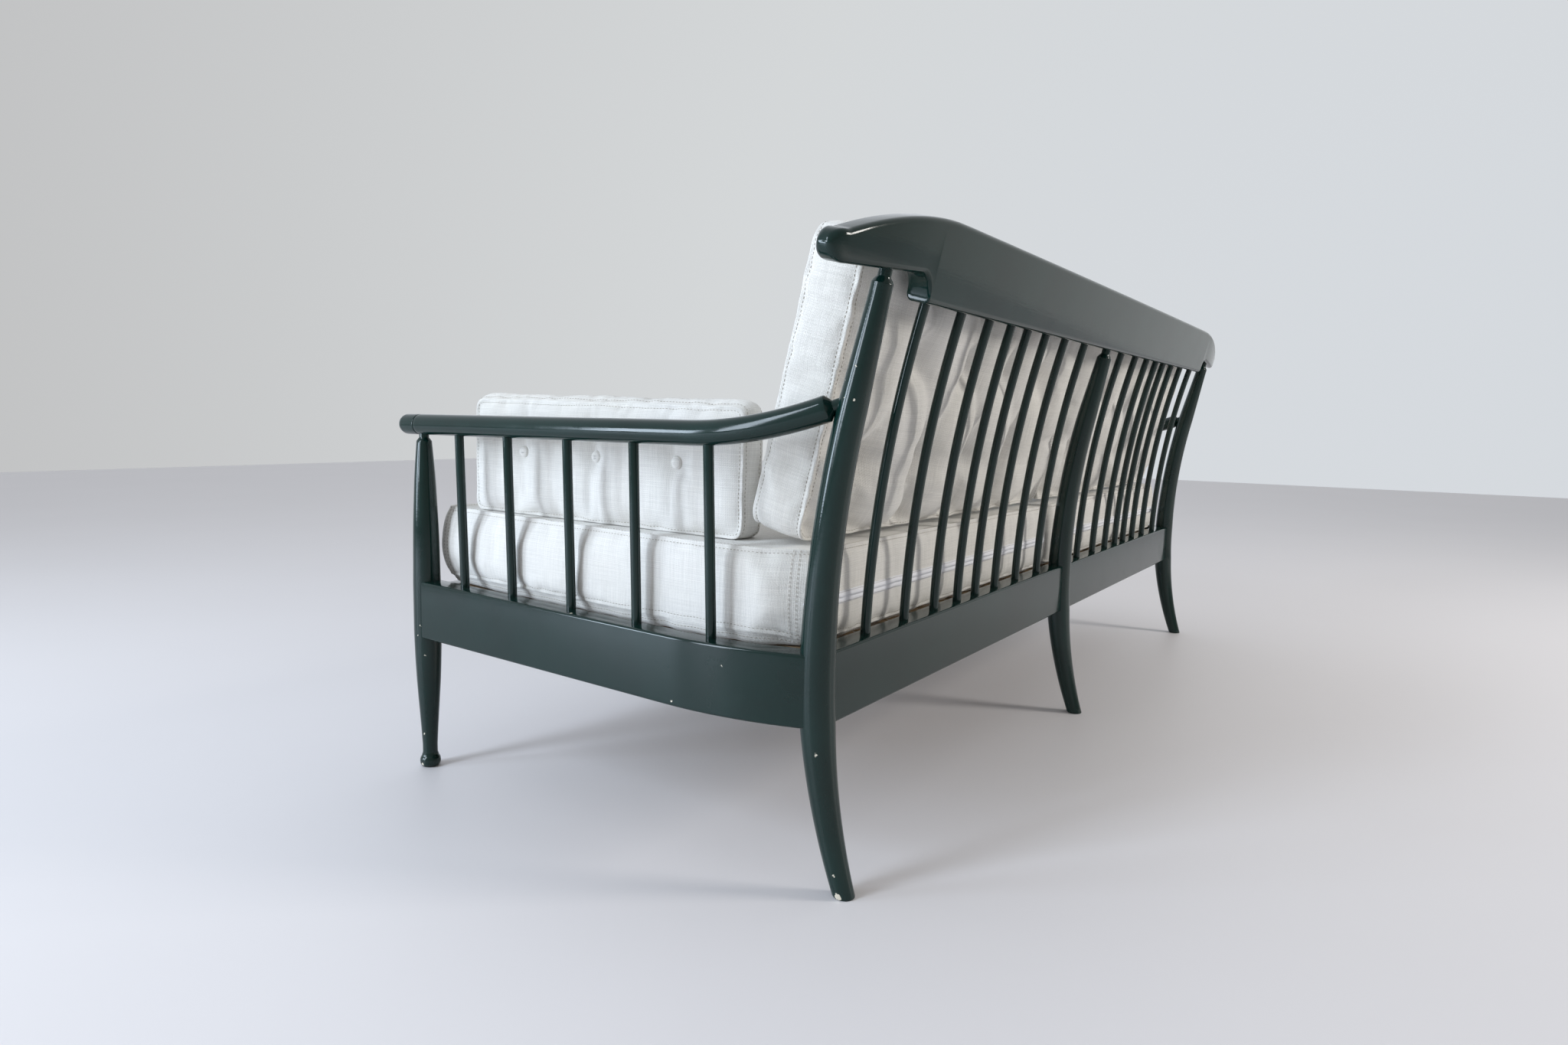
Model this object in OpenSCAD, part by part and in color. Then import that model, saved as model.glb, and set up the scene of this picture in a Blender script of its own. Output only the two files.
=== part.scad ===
// Long settee with a lacquered turned frame, a spindle back and loose linen cushions.
// X runs along the settee, the front faces -Y, Z is up. The origin lies on the floor,
// under the middle of the whole settee. Left means the sitter's left, which is +X.

/* [Frame] */
// Distance between neighbouring back posts
bay_w = 924; // [880:1:960]
// Distance from the front legs back to the back posts, centre to centre
seat_depth = 725; // [700:1:760]
// How much further out than the back posts the outer front legs stand
leg_spread = 2; // [0:0.5:6]
// Height of the upper edge of the back aprons
apron_top = 292; // [270:1:310]
// Height of the back and side apron boards
apron_h = 90; // [70:1:100]
// Height of the front apron boards
front_apron_h = 80; // [60:1:86]
// Thickness of the apron boards
apron_t = 36; // [30:0.5:38]
// Radius of the long edges of the apron boards
apron_edge_r = 3.5; // [1:0.5:6]
// How far the back and front aprons sit in from the post centres, towards the seat
apron_inset = 6; // [3:0.5:8]
// How much higher the seat and the side aprons are at the front legs than at the back posts
front_rise = 12; // [6:1:18]

/* [Back posts] */
// Height at which a back post is nearest the front
post_low_z = 261; // [240:1:280]
// Bend radius of a post below that height
post_foot_bend_r = 792; // [700:1:1000]
// Bend radius of a post above that height
post_back_bend_r = 1360; // [1250:1:1500]
// Lean of the straight upper part of the back, in degrees
back_lean = 13.8; // [12:0.1:15]
// Diameter of a back post at the floor
post_foot_d = 26.5; // [24:0.5:32]
// Diameter of a back post at the aprons
post_apron_d = 43.5; // [42:0.5:48]
// Diameter of a back post just above the seat
post_seat_d = 40; // [36:0.5:42]
// Diameter of a back post where its bend ends
post_bend_d = 35.5; // [32:0.5:40]
// Diameter of a back post at the shoulder under the top rail
post_shoulder_d = 25.5; // [22:0.5:30]
// Diameter of the neck that enters the top rail
post_neck_d = 16; // [12:0.5:18]
// Visible height of the neck
post_neck_h = 9; // [6:0.5:14]
// Height of the chamfer between shoulder and neck
post_chamfer_h = 6; // [3:0.5:8]

/* [Front legs] */
// Largest diameter of a front leg, at the aprons
leg_d = 42; // [42:0.5:48]
// Diameter of a front leg just above the seat
leg_seat_d = 38.5; // [34:0.5:41]
// Diameter of a front leg at its shoulder under the arm
leg_shoulder_d = 23; // [20:0.5:28]
// Diameter of the neck that enters the arm
leg_neck_d = 15; // [12:0.5:16]
// Diameter of the ankle
leg_ankle_d = 23; // [20:0.5:27]
// Diameter of the ball foot
leg_foot_d = 32; // [28:0.5:38]
// Diameter of the flat under the ball foot
leg_sole_d = 24; // [20:0.5:26]

/* [Spindles] */
// Diameter of a back spindle
back_spindle_d = 13.3; // [11:0.1:15]
// Bend radius of the back spindles
back_spindle_bend_r = 1650; // [1400:10:2400]
// How far the back spindles stand in front of the post centres
back_spindle_shift = 5; // [3:0.5:7]
// Gap between the two middle back spindles of a bay, centre to centre
middle_gap = 72.5; // [66:0.5:80]
// Diameter of an arm spindle
arm_spindle_d = 13.5; // [11:0.1:15]
// Number of spindles under each arm
arm_spindles = 5; // [5]
// Distance from the front leg to the first arm spindle
arm_spindle_start = 89; // [76:1:92]
// Distance between the first two arm spindles
arm_spindle_gap = 113; // [100:1:118]
// Distance between the other arm spindles
arm_spindle_pitch = 127; // [118:1:128]
// How far inwards of the side apron's middle the arm spindles' feet stand
arm_spindle_inset = 7; // [0:0.5:8]
// How deep spindles sit in their bores
spindle_socket = 18; // [10:1:20]

/* [Top rail] */
// Height of the rail, along its lean
rail_h = 102.4; // [90:0.2:115]
// Thickness of the rail
rail_t = 32; // [28:0.5:36]
// How far the rail's middle plane lies in front of the post centres
rail_shift = 1; // [0:0.5:3]
// Level of the rail's lower edge on the posts
rail_z = 710.4; // [690:0.2:730]
// Extra height of the rail at its middle
rail_crown = 1; // [0:0.5:6]
// How far a tip of the rail lies outside the end post, along the rail's bend
rail_overhang = 120; // [106:1:136]
// How far inside the end post the rail starts to bend forward
rail_bend_inset = 84; // [74:1:104]
// Radius of the rail's forward bend
rail_bend_r = 1700; // [1200:10:2400]
// How far outside the last spindle the deep part of the rail ends
rail_step_out = 31; // [20:1:40]
// Height of the step up to the underside of the horn, along the lean
horn_step = 32; // [26:0.5:40]
// How much the horn's underside falls towards the tip
horn_fall = 15; // [8:0.5:18]
// Radius of the long fall of the rail's top towards the tip
horn_top_r = 700; // [620:5:800]
// Distance from the tip to where that fall starts
horn_top_run = 280; // [260:1:300]
// Length of the rounding at the tip
tip_round = 24; // [18:1:28]
// Radius of the rail's long edges
rail_edge_r = 6; // [3:0.5:8]

/* [Arms] */
// Diameter of an arm
arm_d = 32; // [28:0.5:36]
// Height of an arm's centre line along its straight part
arm_z = 550; // [530:1:565]
// Outward heading of arms and side aprons, in degrees
arm_heading = 3; // [2:0.1:4]
// How far the centre of the arm's ball end lies in front of the front leg
arm_overhang = 37.5; // [30:0.5:45]
// Distance from the front leg to where the arm starts to bend
arm_straight = 555; // [520:1:580]
// Height at which the arm meets the back post
arm_end_z = 594; // [580:1:610]
// Distance from the post's centre to the arm's rear shoulder
arm_shoulder = 33; // [28:0.5:40]
// Diameter of the arm's neck at the back post
arm_neck_d = 15; // [12:0.5:18]
// Length of the chamfer before that neck
arm_chamfer = 7; // [4:0.5:9]
// Distance from the front leg to where a side apron starts to bend
side_straight = 532; // [500:1:560]

/* [Seat deck] */
// How far the deck lies below the upper edge of the back aprons
deck_drop = 8; // [4:0.5:14]
// Number of slats in a bay
slats_per_bay = 9; // [9]
// Width of a slat
slat_w = 55; // [40:1:70]
// Thickness of a slat
slat_t = 14; // [12:0.5:20]
// Side length of the cleats that carry the slats
cleat = 25; // [24:0.5:30]
// Thickness of the bearer between the middle post and the middle leg
bearer_t = 22; // [18:0.5:26]
// Height of that bearer
bearer_h = 56; // [40:1:64]
// Leg length of the triangular corner blocks
block_leg = 60; // [40:1:75]
// Height of the corner blocks
block_h = 34; // [24:1:36]

/* [Cushions] */
// Distance from the back apron's inner face to the seat cushions
seat_back_gap = 7.5; // [6:0.5:10]
// Depth of a seat cushion from seam to seam
seat_cushion_depth = 693; // [680:1:705]
// Thickness of a seat cushion at its seams
seat_cushion_t = 124; // [100:1:140]
// Gap between a seat cushion's outer seam and the front leg's centre line
seat_side_gap = 36; // [34:1:50]
// Height of the seat cushion's crown
seat_crown = 16; // [4:1:24]
// Swell of the seat cushion's outer side
seat_belly = 11; // [4:1:12]
// Swell of the seat cushion's front
seat_front_belly = 7; // [4:1:12]
// Height of a back cushion from seam to seam
back_cushion_h = 384; // [340:1:420]
// Border width of a back cushion
back_cushion_t = 73; // [60:1:80]
// Crown of a back cushion's front and rear panels
back_crown = 35; // [20:1:40]
// Depth of the tufts of a back cushion
back_tuft = 24; // [10:1:30]
// Distance between tufts in a row
back_tuft_pitch = 165; // [150:1:170]
// Height of the lower row of tufts above the cushion's lower seam
back_tuft_z = 105; // [95:1:115]
// Height of the upper row above the lower one
back_tuft_rise = 140; // [130:1:150]
// Length of an arm cushion
arm_cushion_len = 512; // [490:1:530]
// Height of an arm cushion
arm_cushion_h = 172; // [150:1:190]
// Border width of an arm cushion
arm_cushion_t = 42; // [36:1:60]
// Crown of an arm cushion's faces
arm_crown = 13; // [6:1:16]
// Swell of an arm cushion's top border
arm_top_belly = 15; // [4:1:18]
// Distance from the seat cushion's rear seam to the arm cushion's
arm_cushion_inset = 115; // [100:1:130]
// Distance between the buttons of an arm cushion
arm_button_pitch = 148; // [130:1:155]
// Height of those buttons above the cushion's lower seam
arm_button_z = 95; // [80:1:110]
// Diameter of a covered button
button_d = 18; // [12:0.5:22]

/* [Fits] */
// Radial clearance of tenons, spindles and dowels in their bores
bore_gap = 0.1; // [0.05:0.01:0.2]
// Gap round boards let into posts and legs
pocket_gap = 0.15; // [0.1:0.01:0.3]
// Gap between the back cushions and the rail behind them
rail_gap = 1.5; // [1:0.1:4]
// Gap between cushions and what they rest on
rest_gap = 0.35; // [0.3:0.05:0.6]
// Diameter of the dowels in the apron joints
dowel_d = 10; // [8:0.5:12]
// Distance from a post's centre to the end of a board let into it
socket = 12; // [11:0.5:13]
// Diameter of the screws' shanks
screw_d = 4; // [3:0.5:5]

/* [Hidden] */
$fn = 64;

ring_sides = 20;
post_rings = 27;
tenon = 22;
post_bore_depth = 12;
spindles_per_half = 4;
spindle_numbers = [1:16];
arm_spindle_numbers = [1:5];

seat_tilt = atan(front_rise / seat_depth);
lean_s = sin(back_lean);
lean_c = cos(back_lean);
apron_z = apron_top - apron_h / 2;

// The rail's frame: u along the settee, v up along the lean, w out to the rear
rail_front_w = -rail_shift - rail_t / 2;
rail_rear_w = -rail_shift + rail_t / 2;
post_straight_z = post_low_z + post_back_bend_r * lean_s;
post_straight_out = post_back_bend_r * (1 - lean_c);
rail_out = post_straight_out + (rail_z - post_straight_z) * tan(back_lean);

// Depths from the posts' foremost line, and the line itself, which centres the settee on Y = 0
rear_reach = rail_out + (rail_h + rail_crown - rail_edge_r) * lean_s
    + (rail_rear_w - rail_edge_r) * lean_c + rail_edge_r;
front_reach = seat_depth + arm_overhang * cos(arm_heading) + arm_d / 2;
back_y = (front_reach - rear_reach) / 2;
leg_y = back_y - seat_depth;
leg_x = bay_w + leg_spread;
rail_y = back_y + rail_out;

back_apron_y = back_y - apron_inset;
back_apron_inner = back_apron_y - apron_t / 2;
front_apron_y = leg_y + apron_inset;
front_apron_inner = front_apron_y + apron_t / 2;

function post_out(z) =
    z < post_low_z ? post_foot_bend_r - sqrt(pow(post_foot_bend_r, 2) - pow(post_low_z - z, 2))
    : z < post_straight_z
    ? post_back_bend_r - sqrt(pow(post_back_bend_r, 2) - pow(z - post_low_z, 2))
    : post_straight_out + (z - post_straight_z) * tan(back_lean);
function post_slope(z) = (post_out(z + 1) - post_out(z - 1)) / 2;

// Paths in plan: a straight run from the front leg, then an arc to the back post
heading_dir = [sin(arm_heading), cos(arm_heading)];
outward_dir = [cos(arm_heading), -sin(arm_heading)];
function run_point(l) = [leg_x, leg_y] + l * heading_dir;
side_span = [bay_w, back_y] - run_point(side_straight);
side_along = side_span * heading_dir;
side_in = -side_span * outward_dir;
side_r = (pow(side_along, 2) + pow(side_in, 2)) / (2 * side_in);
side_turn = 2 * atan(side_in / side_along);
side_centre = run_point(side_straight) - side_r * outward_dir;
side_end_turn = side_turn - (socket - 1.5) / side_r * 180 / PI;
function side_point(l) = l <= side_straight ? run_point(l)
    : let (a = (l - side_straight) / side_r * 180 / PI - arm_heading)
      side_centre + side_r * [cos(a), sin(a)];

arm_span = [bay_w, back_y + post_out(arm_end_z)] - run_point(arm_straight);
arm_along = arm_span * heading_dir;
arm_in = -arm_span * outward_dir;
arm_up = arm_end_z - arm_z;
arm_off = norm([arm_in, arm_up]);
arm_r = (pow(arm_along, 2) + pow(arm_off, 2)) / (2 * arm_off);
arm_turn = 2 * atan(arm_off / arm_along) - arm_shoulder / arm_r * 180 / PI;
arm_tilt = atan(arm_up / arm_in);

gap_step = (bay_w / 2 - 4.5 * middle_gap) / 10;
function spindle_offset(k) = middle_gap / 2 + k * middle_gap + gap_step * k * (k + 1) / 2;
function back_spindle_x(i) =
    let (bay = i > 8 ? 1 : -1, n = (i - 1) % 8, k = n < 4 ? 3 - n : n - 4, s = n < 4 ? -1 : 1)
    bay * bay_w / 2 + s * spindle_offset(k);
rail_step = bay_w / 2 + spindle_offset(3) + rail_step_out;

// Outline of the rail: lower and upper level at a distance s from the middle
step_corner_r = 3;
horn_curve_r = horn_step - step_corner_r;
rail_half = bay_w + rail_overhang;
rail_bend_start = bay_w - rail_bend_inset;
horn_start = rail_step + horn_curve_r;
function rail_low(s) =
    s < rail_step - step_corner_r ? 0
    : s < rail_step ? step_corner_r - sqrt(pow(step_corner_r, 2) - pow(s - rail_step + step_corner_r, 2))
    : s < horn_start ? step_corner_r + sqrt(pow(horn_curve_r, 2) - pow(horn_start - s, 2))
    : horn_step - horn_fall * (s - horn_start) / (rail_half - horn_start);
function rail_high(s) =
    let (f = rail_half - horn_top_run, d = max(0, s - f))
    rail_h + rail_crown * (1 - pow(min(1, s / f), 2)) - horn_top_r + sqrt(pow(horn_top_r, 2) - d * d);
tip_start = rail_half - tip_round;
horn_at_post = rail_low(bay_w);

deck_z = apron_top - deck_drop;
front_apron_top = deck_z + front_rise - 2;
bearer_top = deck_z - slat_t - 0.3;

seat_rear = back_apron_inner - seat_back_gap;
seat_outer = leg_x - seat_side_gap;
seat_w = seat_outer - rest_gap;
seat_top = deck_z + seat_cushion_t + 2 * rest_gap;
arm_cushion_outer = seat_outer - arm_crown + 5;
arm_cushion_rear = seat_rear - arm_cushion_inset;
arm_cushion_inner = arm_cushion_outer - arm_cushion_t - arm_crown;
back_cushion_w = seat_outer - 4 - rest_gap;
back_rear_w = rail_front_w - rail_gap - back_crown;
// Level of the seat's rear top edge in the rail's frame
seat_edge_v = (seat_rear - rail_y) * lean_s + (seat_top - rail_z) * lean_c;
back_low_v = seat_edge_v + rest_gap + 1;

lacquer = "#16302c";
raw_wood = "#cdb48a";
linen = "#e6e1d8";
steel = "#b9bcc0";

// Frames of reference
module on_side(side) {
    if (side > 0) children();
    else mirror([1, 0, 0]) children();
}
module in_seat() {
    translate([0, back_y, apron_top]) rotate([-seat_tilt, 0, 0]) translate([0, -back_y, -apron_top])
        children();
}
module in_lean() {
    translate([0, rail_y, rail_z]) rotate([-back_lean, 0, 0]) children();
}

// A board's section, x across its thickness and y up, with rounded corners
module board_section(t, h, r, grow = 0) {
    union() {
        square([t + 2 * grow, h - 2 * r], center = true);
        square([t - 2 * r, h + 2 * grow], center = true);
        for (x = [-1, 1], y = [-1, 1]) {
            translate([x * (t / 2 - r), y * (h / 2 - r)]) circle(r = r + grow, $fn = 32);
        }
    }
}

// The places where boards are let into the left posts and legs, +X into the post
module back_joint(end) {
    at = end > 0 ? [bay_w - socket, back_apron_y, apron_z] : [socket, back_apron_y, apron_z];
    translate(at) rotate([0, 0, end > 0 ? 0 : 180]) children();
}
module front_joint(end) {
    z = front_apron_top - front_apron_h / 2;
    at = end > 0 ? [leg_x - socket, front_apron_y, z] : [socket, front_apron_y, z];
    translate(at) rotate([0, 0, end > 0 ? 0 : 180]) children();
}
module side_joint(end) {
    p = run_point(socket - 1.5);
    in_seat() {
        if (end > 0) {
            translate([side_centre[0], side_centre[1], apron_z])
                rotate([0, 0, side_end_turn - arm_heading]) translate([side_r, 0, 0])
                    rotate([0, 0, 90]) children();
        } else {
            translate([p[0], p[1], apron_z]) rotate([0, 0, -90 - arm_heading]) children();
        }
    }
}
module bearer_joint(end) {
    y = end > 0 ? back_y - socket : leg_y + socket;
    in_seat() translate([0, y, bearer_top - bearer_h / 2]) rotate([0, 0, end > 0 ? 90 : -90])
        children();
}
module dowel_pair(spread, gap = 0) {
    in_board = 14;
    in_post = 9;
    for (z = [-spread / 2, spread / 2]) {
        translate([-in_board - gap, 0, z]) rotate([0, 90, 0])
            cylinder(d = dowel_d + 2 * gap, h = in_board + in_post + 2 * gap, $fn = 24);
    }
}
module front_dowel_pair(end, gap = 0) {
    way = end > 0 ? -1 : 1;
    translate([0, way * front_dowel_shift, 0]) dowel_pair(front_dowels, gap);
}
back_dowels = 58;
side_dowels = 28;
front_dowels = 62;
// How far the dowels of a front apron lie in front of its middle, clear of the side apron's end
front_dowel_shift = 5;
bearer_dowels = 26;

// Boards let into posts, the post side of each joint
module back_pocket(end) {
    back_joint(end) {
        translate([-15, 0, 0]) rotate([90, 0, 90]) linear_extrude(15 + pocket_gap)
            board_section(apron_t, apron_h, apron_edge_r, pocket_gap);
        dowel_pair(back_dowels, bore_gap);
    }
}
module front_pocket(end) {
    front_joint(end) {
        translate([-15, 0, 0]) rotate([90, 0, 90]) linear_extrude(15 + pocket_gap)
            board_section(apron_t, front_apron_h, apron_edge_r, pocket_gap);
        front_dowel_pair(end, bore_gap);
    }
}
module side_pocket(end) {
    side_joint(end) {
        translate([-18, 0, 0]) rotate([90, 0, 90]) linear_extrude(18 + pocket_gap)
            board_section(apron_t, apron_h, apron_edge_r, 2 * pocket_gap);
        dowel_pair(side_dowels, bore_gap);
    }
}
module bearer_pocket(end) {
    bearer_joint(end) {
        translate([-15, -bearer_t / 2 - pocket_gap, -bearer_h / 2 - pocket_gap])
            cube([15 + pocket_gap, bearer_t + 2 * pocket_gap, bearer_h + 2 * pocket_gap]);
        dowel_pair(bearer_dowels, bore_gap);
    }
}

// A solid through rings of points. Seen from the last ring, each runs counterclockwise
module stacked(rings) {
    n = len(rings);
    sides = len(rings[0]);
    walls = [for (i = [0:n - 2], k = [0:sides - 1])
        let (a = i * sides + k, b = i * sides + (k + 1) % sides)
        each [[a, b + sides, b], [a, a + sides, b + sides]]];
    first = [for (k = [0:sides - 1]) k];
    last = [for (k = [sides - 1:-1:0]) (n - 1) * sides + k];
    polyhedron(points = [for (r = rings) each r], faces = concat([first, last], walls));
}

// A sabre post: level elliptical slices stacked up its curve, cut square at the shoulder
post_taper = [
    [0, post_foot_d], [apron_top - apron_h, post_apron_d], [apron_top, post_apron_d],
    [apron_top + 90, post_seat_d], [post_straight_z, post_bend_d], [rail_z, post_shoulder_d]
];
module post_stack(top_z) {
    levels = [for (i = [0:post_rings]) top_z * i / post_rings];
    stacked([for (z = levels)
        let (r = lookup(z, post_taper) / 2, s = post_slope(max(z, 1)))
        [for (k = [0:ring_sides - 1])
            let (a = 360 * k / ring_sides)
            [r * cos(a), back_y + post_out(z) + r * sin(a) * sqrt(1 + s * s), z]]]);
}
module post_body(horn_v) {
    shoulder_v = horn_v - post_neck_h - post_chamfer_h;
    big = 60;
    difference() {
        post_stack(rail_z + horn_v);
        in_lean() translate([-big, -big, shoulder_v]) cube([2 * big, 2 * big, big]);
    }
    in_lean() translate([0, 0, shoulder_v]) {
        cylinder(d1 = post_shoulder_d - 0.3, d2 = post_neck_d, h = post_chamfer_h);
        cylinder(d = post_neck_d, h = post_chamfer_h + post_neck_h + tenon);
    }
}
module end_post() {
    difference() {
        translate([bay_w, 0, 0]) post_body(horn_at_post);
        back_pocket(1);
        side_pocket(1);
        arm_tenon(bore_gap);
    }
}
module back_post_left() {
    color(lacquer) end_post();
}
module back_post_right() {
    color(lacquer) mirror([1, 0, 0]) end_post();
}
module back_post_mid() {
    color(lacquer) difference() {
        post_body(0);
        for (side = [-1, 1]) on_side(side) back_pocket(0);
        bearer_pocket(1);
    }
}

// A turned front leg
leg_shoulder_z = arm_z - arm_d / 2 - 9;
leg_widest_z = apron_top - 20;
// Radius and height along a leg's turned curves, below the aprons and above them
leg_low_curve = [[14.6, 87], [16.5, 115], [18.4, 145]];
leg_high_curve = [[17.2, 437], [15.7, 470], [13.3, 503]];
module leg_profile(top) {
    foot_r = leg_foot_d / 2;
    ankle_r = leg_ankle_d / 2;
    ball = [for (a = [-45:15:60]) [foot_r - 5 + 5 * cos(a), 9 + 9 * sin(a) / sin(60)]];
    polygon(concat(
        [[0, 0], [leg_sole_d / 2, 0]], ball,
        [[ankle_r, 23], [ankle_r, 36], [ankle_r + 1.2, 58]], leg_low_curve,
        [[leg_d / 2 - 0.8, 190], [leg_d / 2, 225], [leg_d / 2, apron_top],
         [leg_d / 2 - 0.6, apron_top + 35]],
        top));
}
module outer_leg_top() {
    shoulder_r = leg_shoulder_d / 2;
    leg_profile([
        [leg_seat_d / 2, 386], each leg_high_curve,
        [shoulder_r, leg_shoulder_z], [leg_neck_d / 2, leg_shoulder_z + 5],
        [leg_neck_d / 2, arm_z - 5], [0, arm_z - 5]
    ]);
}
module end_leg() {
    difference() {
        translate([leg_x, leg_y, 0]) rotate_extrude() outer_leg_top();
        front_pocket(1);
        side_pocket(0);
    }
}
module front_leg_left() {
    color(lacquer) end_leg();
}
module front_leg_right() {
    color(lacquer) mirror([1, 0, 0]) end_leg();
}
module front_leg_mid() {
    dome_z = front_apron_top - 3;
    dome = [for (a = [0:15:90]) [(leg_d / 2 - 3) * cos(a) + 3 * (1 - a / 90), dome_z + 3 * sin(a)]];
    color(lacquer) difference() {
        translate([0, leg_y, 0]) rotate_extrude() polygon(concat(
            [[0, 0], [leg_sole_d / 2, 0]],
            [for (a = [-45:15:60]) [leg_foot_d / 2 - 5 + 5 * cos(a), 9 + 9 * sin(a) / sin(60)]],
            [[leg_ankle_d / 2, 23], [leg_ankle_d / 2, 36], [leg_ankle_d / 2 + 1.2, 58],
             [14.6, 87], [16.5, 115], [18.4, 145], [leg_d / 2 - 0.8, 190], [leg_d / 2, 225]],
            dome));
        for (side = [-1, 1]) on_side(side) front_pocket(0);
        bearer_pocket(0);
    }
}

// Aprons
module back_apron_board(grow = 0) {
    translate([socket, back_apron_y, apron_z]) rotate([90, 0, 90])
        linear_extrude(bay_w - 2 * socket) board_section(apron_t, apron_h, apron_edge_r, grow);
}
module front_apron_board(grow = 0) {
    translate([socket, front_apron_y, front_apron_top - front_apron_h / 2]) rotate([90, 0, 90])
        linear_extrude(leg_x - 2 * socket) board_section(apron_t, front_apron_h, apron_edge_r, grow);
}
module back_apron() {
    difference() {
        back_apron_board();
        for (end = [0, 1]) back_joint(end) dowel_pair(back_dowels, bore_gap);
        for (i = [9:16]) back_spindle_rod(i, bore_gap);
    }
}
module back_apron_left() {
    color(lacquer) back_apron();
}
module back_apron_right() {
    color(lacquer) mirror([1, 0, 0]) back_apron();
}
module front_apron() {
    difference() {
        front_apron_board();
        for (end = [0, 1]) front_joint(end) front_dowel_pair(end, bore_gap);
    }
}
module front_apron_left() {
    color(lacquer) front_apron();
}
module front_apron_right() {
    color(lacquer) mirror([1, 0, 0]) front_apron();
}
side_start = run_point(side_straight);
side_first = socket - 1.5;
side_bend_len = side_r * side_end_turn * PI / 180;
side_stations = concat(
    [for (i = [0:4]) side_first + (side_straight - side_first) * i / 4],
    [for (i = [1:8]) side_straight + side_bend_len * i / 8]);
module side_apron_board() {
    stacked([for (l = side_stations)
        let (bend = max(0, l - side_straight) / side_r * 180 / PI)
        [for (c = [[1, -1, 0], [-1, -1, -90], [-1, 1, -180], [1, 1, -270]], k = [0:3])
            let (
                turn = c[2] - 30 * k,
                a = c[0] * (apron_t / 2 - apron_edge_r) + apron_edge_r * cos(turn),
                b = c[1] * (apron_h / 2 - apron_edge_r) + apron_edge_r * sin(turn),
                u = (side_r + a) * cos(bend) - side_r,
                v = (side_r + a) * sin(bend) + min(0, l - side_straight),
                plan = side_start + u * outward_dir + v * heading_dir
            )
            [plan[0], plan[1], apron_z + b]]]);
}
module side_apron() {
    difference() {
        in_seat() side_apron_board();
        back_apron_board(2 * pocket_gap);
        front_apron_board(2 * pocket_gap);
        for (end = [0, 1]) side_joint(end) dowel_pair(side_dowels, bore_gap);
        for (n = arm_spindle_numbers) arm_spindle_rod(n, bore_gap);
    }
}
module side_apron_left() {
    color(lacquer) side_apron();
}
module side_apron_right() {
    color(lacquer) mirror([1, 0, 0]) side_apron();
}

// Arms: a straight rod with a ball end, then one arc that turns in and up to the back post.
// A groove runs round the rod in front of the leg
arm_start = run_point(arm_straight);
arm_bend_len = arm_r * arm_turn * PI / 180;
// The point at a length l from the front leg, a outwards and b upwards from the centre line
function arm_at(l, a, b) =
    let (
        bend = max(0, l - arm_straight) / arm_r * 180 / PI,
        u = (arm_r + a) * cos(bend) - arm_r,
        v = (arm_r + a) * sin(bend) + min(0, l - arm_straight),
        x = u * cos(arm_tilt) + b * sin(arm_tilt),
        plan = arm_start + x * outward_dir + v * heading_dir
    )
    [plan[0], plan[1], arm_z - u * sin(arm_tilt) + b * cos(arm_tilt)];
groove_out = 7;
groove_r = 1.2;
arm_sides = 24;
arm_outline = concat(
    [for (a = [-84, -68, -52, -36, -20]) [arm_d / 2 * sin(a) - arm_overhang, arm_d / 2 * cos(a)]],
    [[-arm_overhang, arm_d / 2]],
    [for (m = [-1:1]) [m * groove_r - groove_out, arm_d / 2 - groove_r * (1 - abs(m))]],
    [for (i = [1:4]) [arm_straight * i / 4, arm_d / 2]],
    [for (i = [1:9]) [arm_straight + arm_bend_len * i / 9, arm_d / 2]]);
module arm_end_frame() {
    translate([arm_start[0], arm_start[1], arm_z]) rotate([0, arm_tilt, -arm_heading])
        translate([-arm_r, 0, 0]) rotate([0, 0, arm_turn]) translate([arm_r, 0, 0])
            rotate([-90, 0, 0]) children();
}
module arm_tenon(gap = 0) {
    arm_end_frame() cylinder(d = arm_neck_d + 2 * gap, h = arm_shoulder + gap);
}
module arm_rod() {
    stacked([for (q = arm_outline) [for (k = [0:arm_sides - 1])
        let (a = -360 * k / arm_sides)
        arm_at(q[0], q[1] * cos(a), q[1] * sin(a))]]);
    arm_end_frame() cylinder(d1 = arm_d - 0.6, d2 = arm_neck_d, h = arm_chamfer);
    arm_tenon();
}
module arm() {
    difference() {
        arm_rod();
        translate([leg_x, leg_y, arm_z - arm_d]) cylinder(d = leg_neck_d + 2 * bore_gap, h = arm_d - 4);
        for (n = arm_spindle_numbers) arm_spindle_rod(n, bore_gap);
    }
}
module arm_left() {
    color(lacquer) arm();
}
module arm_right() {
    color(lacquer) mirror([1, 0, 0]) arm();
}

// Spindles
module arm_spindle_rod(n, gap = 0) {
    l = arm_spindle_start + (n > 1 ? arm_spindle_gap + (n - 2) * arm_spindle_pitch : 0);
    top = run_point(l);
    foot = side_point(l) - arm_spindle_inset * outward_dir;
    low = apron_top + front_rise * (back_y - foot[1]) / seat_depth - spindle_socket;
    line = concat(top - foot, arm_z - 4 - low);
    lean = acos(line[2] / norm(line));
    heading = atan2(line[1], line[0]);
    translate([foot[0], foot[1], low]) rotate([0, lean, heading]) translate([0, 0, -gap])
        cylinder(d = arm_spindle_d + 2 * gap, h = norm(line) + 2 * gap);
}
module arm_spindle(side, n) {
    color(lacquer) on_side(side) arm_spindle_rod(n);
}
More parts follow.
